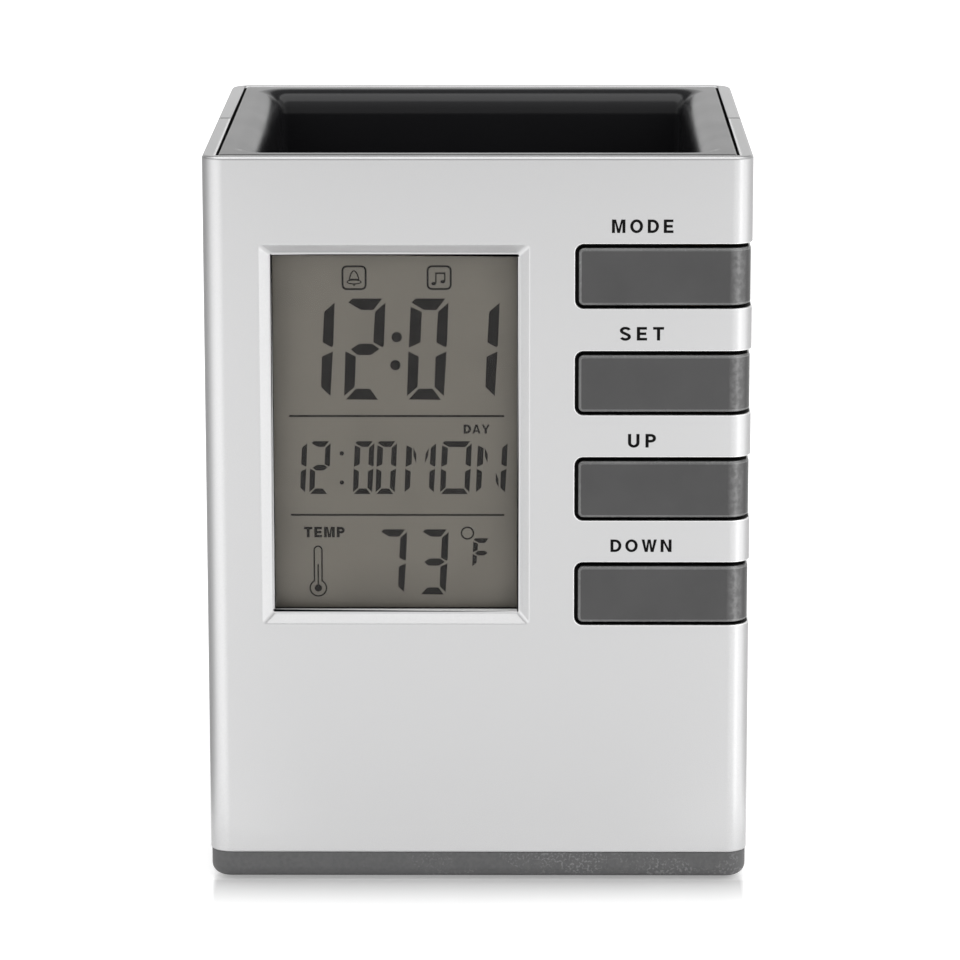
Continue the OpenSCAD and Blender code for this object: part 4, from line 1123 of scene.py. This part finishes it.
def rounded_route(points, trim):
    """The same way with every corner rounded in eight steps."""
    route = [points[0]]
    for before, corner, after in zip(points, points[1:], points[2:]):
        cut = min(trim, (before - corner).length * 0.45, (after - corner).length * 0.45)
        start, end = (corner + (p - corner).normalized() * cut for p in (before, after))
        route += [start.lerp(corner, t / 8).lerp(corner.lerp(end, t / 8), t / 8) for t in range(9)]
    return route + [points[-1]]


def at_length(route, length):
    for first, second in zip(route, route[1:]):
        step = (second - first).length
        if length <= step:
            return first.lerp(second, length / step)
        length -= step
    return route[-1]


for node, points in LEADS.items():
    route = rounded_route([Vector((x, y + MID_Y, z)) * MM for x, y, z in points], BEND * MM)
    total = sum((b - a).length for a, b in zip(route, route[1:])) / MM
    sleeve = [(1.5 + (total - 3) * i / int(total), SLEEVE_RADIUS) for i in range(1, int(total))]
    stations = list(ENDS) + sleeve + [(total - s, r) for s, r in reversed(ENDS)]
    line = [at_length(route, s * MM) for s, r in stations]
    both = (inner_finish[slot_of_node[node]], inner_finish["zinc_steel"])
    wire_piece(node, line, [r * MM for s, r in stations], both, bare=SOLDERED * MM)

# %% [markdown]
# ## Springs
# A battery spring is wire wound on a cone, with a closed turn at each end. One line gives it: the angle
# and the radius run on evenly, and the rise waits for the first turn and stops before the last.

# %% Springs
TURNS, STEPS, WIRE_RADIUS = 4, 36, 0.3
WIDE_END, NARROW_END, RISE = 3.4, 1.8, 3.3
CELL_Y, CELL_Z = 5.75, 7.75


def coil(x, y, z, way):
    line = []
    for i in range(TURNS * STEPS + 1):
        turn = i / STEPS
        rise = min(max((turn - 0.7) / 2.6, 0), 1)
        radius = WIDE_END - (WIDE_END - NARROW_END) * turn / TURNS
        angle = 2 * math.pi * turn
        along = x + way * (WIRE_RADIUS + RISE * rise)
        line.append(Vector((along, y + radius * math.cos(angle), z + radius * math.sin(angle))) * MM)
    return line


for node, x, side, way in (("negative_spring", -24.2, 1, 1), ("bridge_spring", 24.2, -1, -1)):
    line = coil(x, MID_Y + side * CELL_Y, CELL_Z, way)
    wire_piece(node, line, [WIRE_RADIUS * MM] * len(line), (inner_finish["nickel"],))

# %% [markdown]
# ## Cells, feet and screws
# Two plain dry cells lie in the base. A cell is a steel can in a printed sleeve, with crimped round
# ends, so its copy gets rounded rims, a sleeve with two dark rings and bare steel ends. The rubber feet
# and the screw heads only need their lower edges eased.

# %% Cells, feet and screws
cell_sleeve, shader, place = new_finish("cell_sleeve")
along = reckon("ABSOLUTE", axes(place)["X"])
rings = reckon("MAXIMUM", reckon("COMPARE", along, 0.0192, 0.0009),
               reckon("COMPARE", along, 0.0172, 0.0003))
scuffs = noise(place, 700, 5.0)
tint = blend(rings, (0.40, 0.41, 0.43), (0.035, 0.045, 0.07))
feed(shader, Base_Color=tint, Metallic=0.75, Roughness=spread(scuffs, 0.22, 0.36))
bump(shader, scuffs, 0.04, 0.02)
BARE_RADIUS = 4.9
for node, side in (("front_cell", -1), ("rear_cell", 1)):
    piece = eased_copy(node, [cell_sleeve, inner_finish["nickel"]], [(0.35, 4, lambda a, b: True)])
    for face in piece.data.polygons:
        y, z = face.center.y / MM - MID_Y - side * CELL_Y, face.center.z / MM - CELL_Z
        face.material_index = int(math.hypot(y, z) < BARE_RADIUS)
LOWER_EDGES = {
    "rubber_feet": (0.25, 0.02, "foot_rubber"),
    "base_screws": (0.1, 0.95, "zinc_steel"),
    "cup_screws": (0.1, 0.95, "zinc_steel"),
}
for node, (width, top, finish) in LOWER_EDGES.items():
    eased_copy(node, [inner_finish[finish]], [(width, 3, lambda a, b, top=top: max(a.z, b.z) < top * MM)])

# %% [markdown]
# ## Last update
# Last, the view layer is updated, so that every piece stands where its parent puts it.

# %% Finish
bpy.context.view_layer.update()
